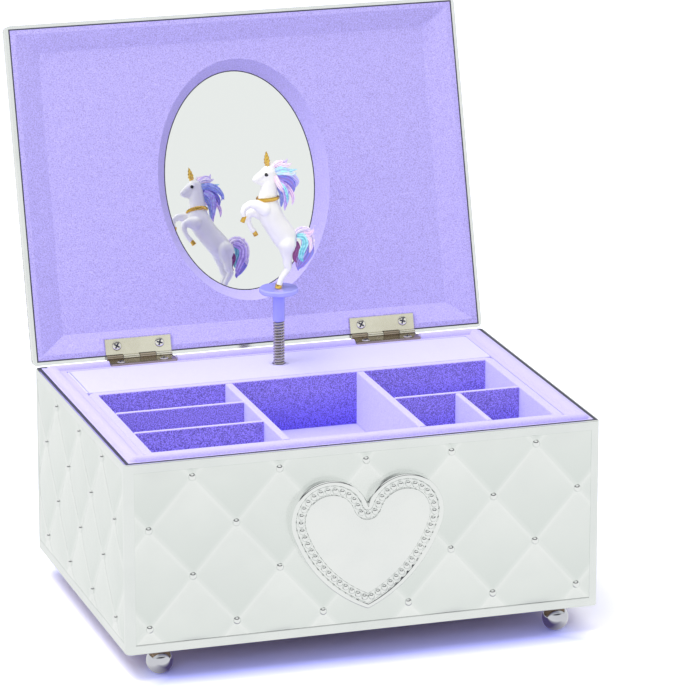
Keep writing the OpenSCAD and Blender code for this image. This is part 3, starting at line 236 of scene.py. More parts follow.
# ---------------- finishes
def effect_group(name, inputs, outputs):
    """A shader node group with these named float inputs and outputs, still without its own nodes."""
    group = bpy.data.node_groups.new(name, "ShaderNodeTree")
    for label, value in inputs:
        socket = group.interface.new_socket(name=label, in_out="INPUT", socket_type="NodeSocketFloat")
        socket.default_value = value
    for label in outputs:
        group.interface.new_socket(name=label, in_out="OUTPUT", socket_type="NodeSocketFloat")
    return group, group.nodes.new("NodeGroupInput"), group.nodes.new("NodeGroupOutput")


def add_noise(tree, vector, scale, detail, roughness=0.5):
    noise = tree.nodes.new("ShaderNodeTexNoise")
    set_inputs(noise, {"Detail": detail, "Roughness": roughness})
    tree.links.new(vector, noise.inputs["Vector"])
    feed(tree, scale, noise.inputs["Scale"])
    return noise.outputs[0]


def add_range(tree, value, low, high, to_low, to_high):
    node = tree.nodes.new("ShaderNodeMapRange")
    set_inputs(node, {"From Min": low, "From Max": high, "To Min": to_low, "To Max": to_high})
    tree.links.new(value, node.inputs["Value"])
    return node.outputs[0]


def make_nap():
    """Short flock: a speckle of single fibres, and soft patches where the nap leans."""
    group, start, end = effect_group("nap", [("Fibre Scale", 2600.0)], ["Fibres", "Patches"])
    point = object_point(group)
    fibres = add_noise(group, point, start.outputs["Fibre Scale"], 2.0, 0.7)
    patches = add_noise(group, point, 300.0, 4.0, 0.6)
    group.links.new(add_range(group, fibres, 0.32, 0.68, 0, 1), end.inputs["Fibres"])
    group.links.new(add_range(group, patches, 0.35, 0.65, 0, 1), end.inputs["Patches"])
    return group


def make_haze():
    """Polished plate that has been handled: faint cloudy smears and hair-fine scratches."""
    group, start, end = effect_group("haze", [("Smear Scale", 60.0)], ["Smears", "Scratches"])
    point = object_point(group)
    smears = add_noise(group, point, start.outputs["Smear Scale"], 5.0, 0.6)
    stretch = group.nodes.new("ShaderNodeMapping")
    stretch.inputs["Scale"].default_value = (40, 900, 900)
    group.links.new(point, stretch.inputs["Vector"])
    scratches = add_noise(group, stretch.outputs[0], 3.0, 3.0, 0.7)
    group.links.new(add_range(group, smears, 0.38, 0.66, 0, 1), end.inputs["Smears"])
    group.links.new(add_range(group, scratches, 0.4, 0.8, 0, 1), end.inputs["Scratches"])
    return group


def make_quilt_tone():
    """Where a place lies in the quilting: Crease is 1 on a crease, and Slope runs from -1 at a pillow's foot
    to 1 at its head.
    Across and Up are counted from a stud, in metres. They place the painted highlight and painted shade of
    the quilted silver."""
    group, start, end = effect_group("quilt_tone", [("Across", 0.0), ("Up", 0.0)], ["Crease", "Slope"])
    across = add_math(group, "DIVIDE", start.outputs["Across"], STUD_PITCH * MM)
    up = add_math(group, "DIVIDE", start.outputs["Up"], 2 * ROW_PITCH * MM)
    ways = [add_math(group, "FRACT", add_math(group, kind, across, up)) for kind in ("ADD", "SUBTRACT")]
    gaps = [add_math(group, "MINIMUM", way, add_math(group, "SUBTRACT", 1.0, way)) for way in ways]
    nearest = add_math(group, "MINIMUM", *gaps)
    group.links.new(add_range(group, nearest, 0.0, 0.075, 1, 0), end.inputs["Crease"])
    group.links.new(add_math(group, "SUBTRACT", *ways), end.inputs["Slope"])
    return group


def use_group(tree, group, values=None):
    node = tree.nodes.new("ShaderNodeGroup")
    node.node_tree = group
    set_inputs(node, values or {})
    return node


def mix_colours(tree, factor, first, second):
    node = tree.nodes.new("ShaderNodeMix")
    node.data_type = "RGBA"
    feed(tree, factor, node.inputs["Factor"])
    for label, value in (("A", first), ("B", second)):
        feed(tree, value, [s for s in node.inputs if s.name == label and s.type == "RGBA"][0])
    return [s for s in node.outputs if s.type == "RGBA"][0]


def add_bump(tree, height, strength, distance, surface):
    bump = tree.nodes.new("ShaderNodeBump")
    set_inputs(bump, {"Strength": strength, "Distance": distance})
    tree.links.new(height, bump.inputs["Height"])
    tree.links.new(bump.outputs[0], surface.inputs["Normal"])


def new_material(name):
    material = bpy.data.materials.new(name)
    material.use_nodes = True
    return material, material.node_tree, material.node_tree.nodes["Principled BSDF"]


def hazed_metal(name, smooth, rough, bump):
    """Metal whose polish and scratches follow the handling haze. Its colour is laid on by the caller."""
    material, tree, surface = new_material(name)
    surface.inputs["Metallic"].default_value = 1
    haze = use_group(tree, HAZE)
    tree.links.new(add_range(tree, haze.outputs["Smears"], 0, 1, smooth, rough), surface.inputs["Roughness"])
    add_bump(tree, haze.outputs["Scratches"], bump, 0.00002, surface)
    return material, tree, surface, haze.outputs["Smears"]


def plated_metal(name, light, dark, smooth, rough, bump):
    """Silver, nickel, zinc or gold plate with handling haze."""
    material, tree, surface, smears = hazed_metal(name, smooth, rough, bump)
    tree.links.new(mix_colours(tree, smears, light, dark), surface.inputs["Base Color"])
    return material


def quilted_metal(name, across, up, origin):
    """Pressed silver plate with a painted highlight along the creases and painted shade that darkens each
    pillow towards its foot.
    """
    material, tree, surface, smears = hazed_metal(name, 0.15, 0.22, 0.05)
    tone = use_group(tree, QUILT_TONE)
    shift = tree.nodes.new("ShaderNodeVectorMath")
    shift.operation = "SUBTRACT"
    tree.links.new(object_point(tree), shift.inputs[0])
    shift.inputs[1].default_value = Vector(origin) * MM
    for label, axis in (("Across", across), ("Up", up)):
        along = tree.nodes.new("ShaderNodeVectorMath")
        along.operation = "DOT_PRODUCT"
        tree.links.new(shift.outputs[0], along.inputs[0])
        along.inputs[1].default_value = axis
        tree.links.new(along.outputs["Value"], tone.inputs[label])
    # painted shade: each pillow darker towards its foot and lighter towards its head
    pillow_shade = add_range(tree, tone.outputs["Slope"], -0.9, 0.9, 0, 1)
    plain = mix_colours(tree, pillow_shade, (0.775, 0.815, 0.79), (0.915, 0.93, 0.915))
    hazy = mix_colours(tree, add_range(tree, smears, 0, 1, 0, 0.35), plain, (0.8, 0.83, 0.815))
    # painted highlight along the creases
    crease = add_range(tree, tone.outputs["Crease"], 0, 1, 0, 0.42)
    tree.links.new(mix_colours(tree, crease, hazy, (0.95, 0.96, 0.95)), surface.inputs["Base Color"])
    return material


def flock(name, pale, deep, speckle, painted_glow=0.0, low=None):
    """Flocked card or plastic, with painted light and shade: faces that look up take the pale lit tone and
    faces that look to the front take the deep tone as painted shade, deepest low down in the tray, where the
    painted shade goes over into low. The emission strength is painted light: the flock gives off its own
    colour."""
    material, tree, surface = new_material(name)
    nap = use_group(tree, NAP, {"Fibre Scale": 2500.0})
    facing = split_axes(tree, tree.nodes.new("ShaderNodeNewGeometry").outputs["Normal"])
    # painted shade: faces that look to the front take the deep tone
    forward_shade = add_range(tree, facing["Y"], -0.15, -0.85, 0, 1)
    # painted shade that deepens towards the bottom of the tray
    if low:
        height = split_axes(tree, object_point(tree))["Z"]
        tray_low, tray_high = (CASE_H - 21) * MM, (CASE_H - 5) * MM
        deep = mix_colours(tree, add_range(tree, height, tray_low, tray_high, 0, 1), low, deep)
    tones = []
    for colour, share in ((pale, 0.2), (deep, 1.0)):
        darker = tree.nodes.new("ShaderNodeHueSaturation")
        set_inputs(darker, {"Saturation": 1 + 0.12 * share, "Value": 1 - speckle * share})
        plain = mix_colours(tree, 0.0, colour, (0.0, 0.0, 0.0))
        tree.links.new(plain, darker.inputs["Color"])
        tones.append(mix_colours(tree, nap.outputs["Fibres"], darker.outputs[0], plain))
    speckled = mix_colours(tree, forward_shade, *tones)
    tree.links.new(speckled, surface.inputs["Base Color"])
    tree.links.new(add_range(tree, nap.outputs["Patches"], 0, 1, 0.9, 1.0), surface.inputs["Roughness"])
    # painted light: the flock gives off its own colour as emission
    tree.links.new(speckled, surface.inputs["Emission Color"])
    set_inputs(surface, {
        "Emission Strength": painted_glow, "Sheen Weight": 0.25, "Sheen Roughness": 0.6,
        "Sheen Tint": (0.86, 0.82, 1.0, 1), "Specular IOR Level": 0.15,
    })
    pile = add_math(tree, "MULTIPLY_ADD", nap.outputs["Patches"], 1.6, nap.outputs["Fibres"])
    add_bump(tree, pile, 0.55, 0.00016, surface)
    return material


def lay_paint(tree, surface, paint, roughness, painted_glow):
    """Paint under a clear glaze, which also gives off its own colour as painted light."""
    for label in ("Base Color", "Emission Color"):
        tree.links.new(paint, surface.inputs[label])
    set_inputs(surface, {
        "Emission Strength": painted_glow, "Roughness": roughness, "Coat Weight": 0.4, "Coat Roughness": 0.12,
    })


def gloss_paint(name, first, second, patch_scale, roughness=0.28, painted_glow=0.0):
    """Hand-painted resin: two close tones that run into each other."""
    material, tree, surface = new_material(name)
    point = object_point(tree)
    tone = add_noise(tree, point, patch_scale, 3.0)
    paint = mix_colours(tree, add_range(tree, tone, 0.38, 0.62, 0, 1), first, second)
    lay_paint(tree, surface, paint, roughness, painted_glow)
    add_bump(tree, add_noise(tree, point, 1800.0, 2.0), 0.08, 0.00005, surface)
    return material


def hair_paint(name, light, deep):
    """Painted hair: the light tone on the strands, the deep tone in random washes, and painted shade, darker
    than the deep tone, run into the grooves between the strands.
    """
    material, tree, surface = new_material(name)
    groove = tree.nodes.new("ShaderNodeAttribute")
    groove.attribute_name = "groove"
    wash = add_noise(tree, object_point(tree), 900.0, 3.0)
    washed = mix_colours(tree, add_range(tree, wash, 0.42, 0.62, 0, 0.8), light, deep)
    # painted shade in the grooves between strands
    shade = add_range(tree, groove.outputs["Fac"], 0.35, 0.95, 0, 0.85)
    paint = mix_colours(tree, shade, washed, tuple(0.62 * v + 0.04 for v in deep))
    # 0.12 is painted light: the hair paint gives off its own colour
    lay_paint(tree, surface, paint, 0.3, 0.12)
    add_bump(tree, wash, 0.15, 0.00006, surface)
    return material


def raw_board():
    """Raw fibreboard with a faint fleck."""
    material, tree, surface = new_material("raw_board")
    fleck = add_noise(tree, object_point(tree), 700.0, 5.0, 0.7)
    share = add_range(tree, fleck, 0.35, 0.65, 0, 1)
    wood = mix_colours(tree, share, (0.42, 0.29, 0.17), (0.56, 0.42, 0.27))
    tree.links.new(wood, surface.inputs["Base Color"])
    surface.inputs["Roughness"].default_value = 0.85
    add_bump(tree, fleck, 0.3, 0.0001, surface)
    return material


def shadow_gap():
    """Painted shadow: the near-black of the shade inside a narrow gap."""
    material, tree, surface = new_material("painted_gap_shade")
    tone = add_noise(tree, object_point(tree), 300.0, 2.0)
    shade = mix_colours(tree, tone, (0.03, 0.03, 0.05), (0.07, 0.07, 0.1))
    tree.links.new(shade, surface.inputs["Base Color"])
    surface.inputs["Roughness"].default_value = 0.7
    return material


def silvered_glass():
    """A mirror with a trace of dust."""
    material, tree, surface = new_material("silvered_glass")
    dust = add_noise(tree, object_point(tree), 240.0, 6.0, 0.7)
    set_inputs(surface, {"Metallic": 1, "Base Color": (0.9, 0.92, 0.91, 1)})
    tree.links.new(add_range(tree, dust, 0.3, 0.75, 0.0, 0.03), surface.inputs["Roughness"])
    return material


NAP = make_nap()
HAZE = make_haze()
QUILT_TONE = make_quilt_tone()
SILVER = plated_metal("silver_plate", (0.86, 0.88, 0.87), (0.82, 0.845, 0.835), 0.1, 0.17, 0.05)
FRONT_SILVER = quilted_metal("front_quilted_silver", (1, 0, 0), (0, 0, 1), (0, 0, FIRST_ROW))
SIDE_SILVER = quilted_metal("side_quilted_silver", (0, 1, 0), (0, 0, 1), (0, 0, FIRST_ROW))
BRIGHT_SILVER = plated_metal("bright_silver_plate", (0.9, 0.91, 0.9), (0.87, 0.885, 0.88), 0.04, 0.09, 0.02)
CHROME = plated_metal("foot_chrome", (0.68, 0.68, 0.73), (0.6, 0.6, 0.66), 0.02, 0.05, 0.02)
NICKEL = plated_metal("hinge_nickel", (0.78, 0.76, 0.64), (0.7, 0.67, 0.54), 0.14, 0.26, 0.1)
SPRING_STEEL = plated_metal("spring_steel", (0.56, 0.53, 0.5), (0.42, 0.39, 0.37), 0.06, 0.14, 0.06)
ZINC = plated_metal("bright_zinc", (0.66, 0.67, 0.69), (0.55, 0.56, 0.58), 0.25, 0.4, 0.15)
BRASS = plated_metal("movement_brass", (0.83, 0.63, 0.28), (0.72, 0.52, 0.2), 0.2, 0.34, 0.12)
# Each flock's deep tone is painted shade on faces that look to the front, its emission strength is painted
# light, and the tray's last colour is painted shade low in the tray.
TRAY_FLOCK = flock("tray_flock", (0.54, 0.5, 0.88), (0.34, 0.27, 0.92), 0.74, 0.24, (0.14, 0.1, 0.92))
DECK_FLOCK = flock("deck_flock", (0.65, 0.625, 0.92), (0.56, 0.52, 0.91), 0.08, 0.03)
LIP_FLOCK = flock("lip_flock", (0.58, 0.53, 0.9), (0.48, 0.43, 0.9), 0.16, 0.03)
LID_FLOCK = flock("lid_flock", (0.56, 0.505, 0.93), (0.53, 0.475, 0.93), 0.36, 0.08)
BOARD = raw_board()
MIRROR = silvered_glass()
GAP_SHADE = shadow_gap()
PERIWINKLE = gloss_paint("periwinkle_plastic", (0.36, 0.36, 0.95), (0.4, 0.4, 0.97), 120.0, 0.16)
# the white resin's last number is painted light: a faint emission of its own colour
WHITE_RESIN = gloss_paint("white_resin", (0.86, 0.86, 0.81), (0.83, 0.83, 0.79), 260.0, 0.3, 0.04)
GOLD = plated_metal("gold_paint", (0.95, 0.66, 0.16), (0.72, 0.42, 0.06), 0.2, 0.36, 0.3)
# painted shade: a darker copy of the hinge nickel for the case leaves, standing for the dark reflections
# they catch
SHADED_NICKEL = plated_metal("shaded_nickel", (0.46, 0.4, 0.31), (0.34, 0.28, 0.21), 0.16, 0.3, 0.1)
SCREW_NICKEL = plated_metal("screw_nickel", (0.92, 0.9, 0.84), (0.8, 0.78, 0.7), 0.08, 0.2, 0.05)
EYE_BLACK = gloss_paint("eye_black", (0.006, 0.006, 0.008), (0.012, 0.012, 0.014), 300.0, 0.1)


# ---------------- making pieces
def finish_piece(name, shape, material, body, smooth_angle=35):
    """Turns a bmesh in millimetres into a finished piece that rides on a body."""
    bmesh.ops.scale(shape, verts=shape.verts, vec=(MM, MM, MM))
    mesh = bpy.data.meshes.new(name)
    shape.to_mesh(mesh)
    shape.free()
    mesh.materials.append(material)
    piece = new_object(name, mesh)
    mesh.shade_smooth()
    mesh.set_sharp_from_angle(angle=math.radians(smooth_angle))
    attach(piece, body)
    return piece


def add_ring(shape, points):
    """A closed ring of edges through these points."""
    verts = [shape.verts.new(point) for point in points]
    return [shape.edges.new((p, q)) for p, q in zip(verts, verts[1:] + verts[:1])]


def skin_rings(shape, rings, capped=True):
    """Bridges the rings in their order, and closes both ends if capped."""
    for low, high in zip(rings, rings[1:]):
        bmesh.ops.bridge_loops(shape, edges=low + high)
    for ring in (rings[0], rings[-1]) if capped else ():
        bmesh.ops.contextual_create(shape, geom=ring)


def rectangle(half_w, half_d, z):
    return [(sx * half_w, sy * half_d, z) for sx, sy in ((-1, -1), (1, -1), (1, 1), (-1, 1))]


def finish_node(names, material):
    """Gives a CAD node its finish."""
    for name in names:
        node = NODES[name]
        node.data.materials.clear()
        node.data.materials.append(material)


def soften(name, node, material, body, width, segments=3, angle=28):
    """A copy of a CAD node with its edges eased, which stands for the node."""
    shape = bmesh.new()
    shape.from_mesh(NODES[node].data)
    bmesh.ops.scale(shape, verts=shape.verts, vec=(1 / MM, 1 / MM, 1 / MM))
    bmesh.ops.remove_doubles(shape, verts=shape.verts, dist=0.002)
    bmesh.ops.dissolve_limit(
        shape, angle_limit=math.radians(1), verts=shape.verts, edges=shape.edges, delimit=set()
    )
    piece = finish_piece(name, shape, material, body, angle)
    ease = piece.modifiers.new("eased_edges", "BEVEL")
    ease.width = width * MM
    ease.segments = segments
    ease.limit_method = "ANGLE"
    ease.angle_limit = math.radians(angle)
    ease.use_clamp_overlap = True
    ease.harden_normals = True
    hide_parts(node)


# ---------------- quilted plates
def crown(share):
    """Height of a pillow across its width, from 0 at one crease through 1 to 0 at the next."""
    return max(0.0, 1 - abs(2 * share - 1) ** 3.2) ** 0.9


def pillow_height(x, z):
    rising = x / STUD_PITCH + z / (2 * ROW_PITCH)
    falling = x / STUD_PITCH - z / (2 * ROW_PITCH)
    return PILLOW * crown(rising - math.floor(rising)) * crown(falling - math.floor(falling))


def quilted_plate(name, node, place, width, height, stud_z, body, material, depth=1.0, heart=False):
    """A pressed plate on its crease level, drawn flat and then stood up by place. It fills its seat at the
    sides and the top, and its pillows run out towards the border."""
    step, border, side_play, top_play = 0.62, 6, 0.26, 0.13
    width, height = width + side_play, height + top_play
    shape = bmesh.new()
    bmesh.ops.create_grid(
        shape, x_segments=round(width / step), y_segments=round(height / step), size=0.5
    )
    bmesh.ops.scale(shape, verts=shape.verts, vec=(width, height, 1))
    bmesh.ops.translate(shape, verts=shape.verts, vec=(0, top_play / 2, 0))
    for v in shape.verts:
        edge = min(width / 2 - abs(v.co.x), height / 2 - abs(v.co.y - top_play / 2))
        fade = math.sin(math.radians(90 * min(1, max(0, edge) / border)))
        raised = pillow_height(v.co.x, v.co.y - stud_z) * fade
        if heart:
            raised *= clear_of_heart(v.co.x, v.co.y)
        v.co.z = CREASE_LEVEL + raised * depth
    skirt = bmesh.ops.extrude_edge_only(shape, edges=[e for e in shape.edges if e.is_boundary])
    for v in [g for g in skirt["geom"] if isinstance(g, bmesh.types.BMVert)]:
        v.co.z = 0.05
    bmesh.ops.contextual_create(shape, geom=[e for e in shape.edges if e.is_boundary])
    bmesh.ops.recalc_face_normals(shape, faces=shape.faces)
    bmesh.ops.transform(shape, matrix=place, verts=shape.verts)
    piece = finish_piece(name, shape, material, body, 50)
    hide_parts(node)


def on_wall(turn, out):
    """Stands the XY plane up on a wall that is turned about Z and lies this far out."""
    return turned(turn, "Z") @ Matrix.Translation((0, -out + QUILT_SEAT, PLATE_MID)) @ turned(90, "X")


def on_open_lid():
    """Carries a place on the shut lid to the open one."""
    return Matrix.Translation(HINGE) @ Matrix.Rotation(-LID_OPEN, 4, "X") @ Matrix.Translation(-HINGE)


def plate_size(node, across):
    low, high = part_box(node)
    return (high[across] - low[across]) / MM, (high.z - low.z) / MM


# ---------------- heart
LOBE_R, LOBE_X, LOBE_Z, SIDE_R, HEART_TIP = 13.2, 12.6, 39.3, 45.0, 8.1
HEART_TOP = CREASE_LEVEL + 2.6
HEART_CLEAR = 9                  # how far from the heart the pillows have their whole height


def heart_outline(inset, count=96):
    """Points round the heart, from the notch down the left side to the tip and back up the right."""
    reach = SIDE_R - LOBE_R
    drop = LOBE_Z - HEART_TIP
    span = math.hypot(LOBE_X, drop)
    turn = math.atan2(drop, -LOBE_X) - math.acos(
        (SIDE_R**2 - LOBE_X**2 - drop**2 - reach**2) / (2 * reach * span)
    )
    side_x = -LOBE_X + reach * math.cos(turn)
    side_z = LOBE_Z + reach * math.sin(turn)
    notch = math.acos(LOBE_X / LOBE_R)
    notch_z = LOBE_Z + LOBE_R * math.sin(notch)
    lobe_end = math.pi + turn
    side_end = math.pi + math.acos(side_x / (SIDE_R - inset))
    left = []
    for k in range(8):
        a = 1.5 * math.pi - k * (math.pi / 2 - notch) / 8
        left.append((inset * math.cos(a), notch_z + inset * math.sin(a)))
    lobe_steps = count * 3 // 5
    for k in range(lobe_steps):
        a = notch + k * (lobe_end - notch) / lobe_steps
        left.append((-LOBE_X + (LOBE_R - inset) * math.cos(a), LOBE_Z + (LOBE_R - inset) * math.sin(a)))
    side_steps = count - lobe_steps
    for k in range(side_steps + 1):
        a = lobe_end + k * (side_end - lobe_end) / side_steps
        left.append((side_x + (SIDE_R - inset) * math.cos(a), side_z + (SIDE_R - inset) * math.sin(a)))
    right = [(-x, z) for x, z in reversed(left[1:-1])]
    return [(x, z - PLATE_MID) for x, z in left + right]


HEART_EDGE = heart_outline(0)


def clear_of_heart(x, y):
    """0 under the heart, rising smoothly to 1 a little way outside its edge."""
    level = y + PLATE_MID
    if abs(x) > LOBE_X + LOBE_R + HEART_CLEAR:
        return 1.0
    if not HEART_TIP - HEART_CLEAR < level < LOBE_Z + LOBE_R + HEART_CLEAR:
        return 1.0
    nearest, inside = 1e9, False
    for (ax, ay), (bx, by) in zip(HEART_EDGE, HEART_EDGE[1:] + HEART_EDGE[:1]):
        nearest = min(nearest, math.hypot(ax - x, ay - y))
        if (ay > y) != (by > y) and x < ax + (y - ay) * (bx - ax) / (by - ay):
            inside = not inside
    share = 0 if inside else min(1, nearest / HEART_CLEAR)
    return share * share * (3 - 2 * share)


def heart_plate():
    """The raised heart: a rounded rim, a groove for the beads and a flat polished middle."""
    # how far in from the outline, and how far below the rim's top
    profile = [
        (0.0, 0.75), (0.12, 0.35), (0.4, 0.08), (0.8, 0), (1.2, 0.03), (1.6, 0.25), (1.85, 0.7),
        (1.95, 0.8), (4.6, 0.8), (4.75, 0.45), (5.0, 0.3),
    ]
    shape = bmesh.new()
    rings = []
    for inset, height in [(0.0, 0.05)] + [(inset, HEART_TOP - drop) for inset, drop in profile]:
        rings.append(add_ring(shape, [(x, y, height) for x, y in heart_outline(inset)]))
    skin_rings(shape, rings)
    bmesh.ops.remove_doubles(shape, verts=shape.verts, dist=0.001)
    bmesh.ops.recalc_face_normals(shape, faces=shape.faces)
    bmesh.ops.transform(shape, matrix=on_wall(0, CASE_D / 2), verts=shape.verts)
    piece = finish_piece("heart", shape, BRIGHT_SILVER, "case", 40)
    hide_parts("heart_plate")


# ---------------- case
def rim_shadow():
    """Painted shadow and painted dark reflection: a dark sheet over the joint between the metal rim and the
    flocked lip, reaching over the rim's top and the lip's edge.
    """
    low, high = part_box("lining_frame")
    half_w = (high.x - low.x) / 2 / MM
    half_d = (high.y - low.y) / 2 / MM
    shape = bmesh.new()
    rings = []
    for inset, rise in ((-0.7, 0.02), (-0.62, 0.05), (0.36, 0.05), (0.44, 0.02)):
        rings.append(add_ring(shape, rectangle(half_w - inset, half_d - inset, CASE_H + rise)))
    skin_rings(shape, rings, capped=False)
    bmesh.ops.recalc_face_normals(shape, faces=shape.faces)
    finish_piece("painted_rim_shadow", shape, GAP_SHADE, "case")


def make_case():
    front_w, plate_h = plate_size("front_quilt", 0)
    side_w = plate_size("left_quilt", 1)[0]
    stud_z = FIRST_ROW - PLATE_MID
    half_d, half_w = CASE_D / 2, CASE_W / 2
    for side, place, width, silver, depth in (
        ("front", on_wall(0, half_d), front_w, FRONT_SILVER, 1.0),
        ("back", on_wall(180, half_d), front_w, FRONT_SILVER, 1.0),
        ("left", on_wall(-90, half_w), side_w, SIDE_SILVER, 0.75),
        ("right", on_wall(90, half_w), side_w, SIDE_SILVER, 0.75),
    ):
        quilted_plate(
            side + "_plate", side + "_quilt", place, width, plate_h, stud_z, "case", silver, depth,
            heart=side == "front",
        )
    heart_plate()
    soften("case_walls", "case_shell", SILVER, "case", 0.35, 3, 40)
    finish_node(["case_studs", "heart_beads"], BRIGHT_SILVER)
    finish_node(["foot_front_left", "foot_front_right", "foot_back_left", "foot_back_right"], CHROME)
    finish_node(["base_board", "lower_core", "shelf_board", "upper_core"], BOARD)
    finish_node(["base_screws"], ZINC)
    rim_shadow()


# ---------------- lining and tray
def make_lining():
    soften("lip", "lining_frame", LIP_FLOCK, "case", 0.4, 2)
    soften("deck", "deck_box", DECK_FLOCK, "case", 0.5, 3)
    soften("tray_wall", "tray_wall_ring", TRAY_FLOCK, "case", 0.5, 3)
    finish_node(["tray_floor"], TRAY_FLOCK)
    finish_node(["deck_bush"], DECK_FLOCK)
    for divider in (
        "left_divider", "right_divider", "back_row_divider", "front_row_divider", "cross_divider",
        "small_divider",
    ):
        soften(divider + "_flocked", divider, TRAY_FLOCK, "case", 0.45, 3)


# ---------------- lid and hinges
def lid_gap_shadows():
    """Two lines of painted shadow on the lid: dark sheets in the gaps between the metal edge and the pad,
    and round the mirror.
    """
    place = on_open_lid() @ Matrix.Translation((0, 0, CASE_H + LID_GAP))
    half_w, half_d = CASE_W / 2 - LID_WALL, CASE_D / 2 - LID_WALL
    shape = bmesh.new()

    def edge(inset):
        return rectangle(half_w - inset, half_d - inset, -0.03)

    def oval(inset):
        across, along = MIRROR_W / 2 - inset, MIRROR_L / 2 - inset
        turns = [2 * math.pi * k / 120 for k in range(120)]
        return [(across * math.cos(a), along * math.sin(a), MIRROR_DEPTH - 0.04) for a in turns]

    for outlines in ((edge(-0.05), edge(0.4)), (oval(-0.1), oval(0.3))):
        skin_rings(shape, [add_ring(shape, points) for points in outlines], capped=False)
    bmesh.ops.transform(shape, matrix=place, verts=shape.verts)
    finish_piece("lid_gap_shadows", shape, GAP_SHADE, "lid")


def make_lid():
    lid_gap_shadows()
    soften("lid_metal", "lid_shell", SILVER, "lid", 0.25, 2, 40)
    soften("lid_pad", "lid_lining", LID_FLOCK, "lid", 0.9, 4, 20)
    finish_node(["lid_board"], BOARD)
    finish_node(["lid_mirror"], MIRROR)
    finish_node(["lid_studs"], BRIGHT_SILVER)
    place = on_open_lid() @ Matrix.Translation((0, 0, CASE_H + LID_GAP + LID_PLATE_LEVEL))
    silver = quilted_metal(
        "lid_quilted_silver", (1, 0, 0), place.to_3x3() @ Vector((0, 1, 0)), place @ Vector((0, 0, 0))
    )
    width = plate_size("lid_quilt", 0)[0]
    quilted_plate("lid_plate", "lid_quilt", place, width, LID_PLATE_L, 0, "lid", silver)


def hinge_screws(name, node, body, side):
    """Domed screw heads with a cross recess, two to a leaf; dark bars set into each head paint the shade
    inside the recess. Side is 1 for the lid's leaves.
    """
    shape = bmesh.new()
    recess = []
    for hinge in ("left", "right"):
        low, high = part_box(hinge + "_hinge_pin")
        middle = (low.x + high.x) / 2 / MM
        for along in (-SCREW_SPAN / 2, SCREW_SPAN / 2):
            place = (
                (on_open_lid() if side > 0 else Matrix.Identity(4))
                @ Matrix.Translation((middle + along, HINGE.y - SCREW_LINE, HINGE.z + side * SCREW_DROP))
                @ turned(180 if side > 0 else 0, "X")
                @ turned(20 + 31 * along, "Z")
            )
            head = bmesh.ops.create_uvsphere(shape, u_segments=28, v_segments=12, radius=1)
            dome = Matrix.Diagonal((HEAD_R, HEAD_R, HEAD_H, 1))
            bmesh.ops.transform(shape, matrix=place @ dome, verts=head["verts"])
            for turn in (0, 90):
                bar = bmesh.ops.create_cube(shape, size=1)
                lie = Matrix.Translation((0, 0, CROSS_LEVEL)) @ turned(turn, "Z")
                size = Matrix.Diagonal((*CROSS_SIZE, 1))
                bmesh.ops.transform(shape, matrix=place @ lie @ size, verts=bar["verts"])
                recess += [f for v in bar["verts"] for f in v.link_faces]
    # painted shade: the cross bars take the dark gap material
    for face in recess:
        face.material_index = 1
    piece = finish_piece(name, shape, SCREW_NICKEL, body)
    piece.data.materials.append(GAP_SHADE)
    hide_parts(node)


def make_hinges():
    hinge_screws("lid_screws", "lid_hinge_screws", "lid", 1)
    hinge_screws("case_screws", "case_hinge_screws", "case", -1)
    for side in ("left", "right"):
        # the case leaves take the shaded copy of the nickel as painted shade
        soften(side + "_case_leaf", side + "_hinge_case_leaf", SHADED_NICKEL, "case", 0.12, 2)
        soften(side + "_lid_leaf", side + "_hinge_lid_leaf", NICKEL, "lid", 0.12, 2)
        finish_node([side + "_hinge_pin"], ZINC)


# ---------------- movement
def make_movement():
    finish_node(
        ["bedplate", "bedplate_screws", "governor_bracket", "comb", "clutch_spring", "mainspring",
         "drive_spindle", "winding_arbor", "governor_fly", "spring_barrel"], ZINC,
    )
    finish_node(["comb_screws", "pinned_cylinder", "governor_wheel", "winding_key"], BRASS)


# ---------------- spring post and figure
def coil_post():
    """The post: a close-wound spring, drawn as a straight coil; on the real box it bends where the lid
    pushes the figure down.
    """
    low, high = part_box("coil_spring")
    radius = (high.x - low.x) / 2 / MM - WIRE / 2
    height = (high.z - low.z) / MM - WIRE
    steps = COIL_TURNS * COIL_STEPS
    curve = bpy.data.curves.new("coil_path", "CURVE")
    curve.dimensions = "3D"
    curve.bevel_depth = WIRE / 2 * MM
    curve.bevel_resolution = 3
    curve.use_fill_caps = True
    line = curve.splines.new("POLY")
    line.points.add(steps)
    for k, point in enumerate(line.points):
        a = 2 * math.pi * k / COIL_STEPS
        z = low.z / MM + WIRE / 2 + height * k / steps
        point.co = (radius * math.cos(a) * MM, (POST_Y + radius * math.sin(a)) * MM, z * MM, 1)
    holder = new_object("coil_path", curve)
    bpy.context.view_layer.update()
    mesh = bpy.data.meshes.new_from_object(holder.evaluated_get(bpy.context.evaluated_depsgraph_get()))
    bpy.data.objects.remove(holder)
    mesh.name = "spring_post"
    mesh.materials.clear()
    mesh.materials.append(SPRING_STEEL)
    mesh.shade_smooth()
    piece = new_object("spring_post", mesh)
    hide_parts("coil_spring")
    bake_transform(piece)


def figure_place(x, y, z):
    """A place on the figure, counted from the middle of the platform's top."""
    return Vector((x, POST_Y + y, PLATFORM_TOP + z))


def finish_figure(name, shape, material, smooth_angle):
    return finish_piece(name, shape, material, "figure", smooth_angle)


def add_ball(shape, x, y, z, r, squeeze=1.0):
    made = bmesh.ops.create_icosphere(shape, subdivisions=3, radius=1)
    place = Matrix.Translation(figure_place(x, y, z)) @ Matrix.Diagonal((r, r * squeeze, r, 1))
    bmesh.ops.transform(shape, matrix=place, verts=made["verts"])


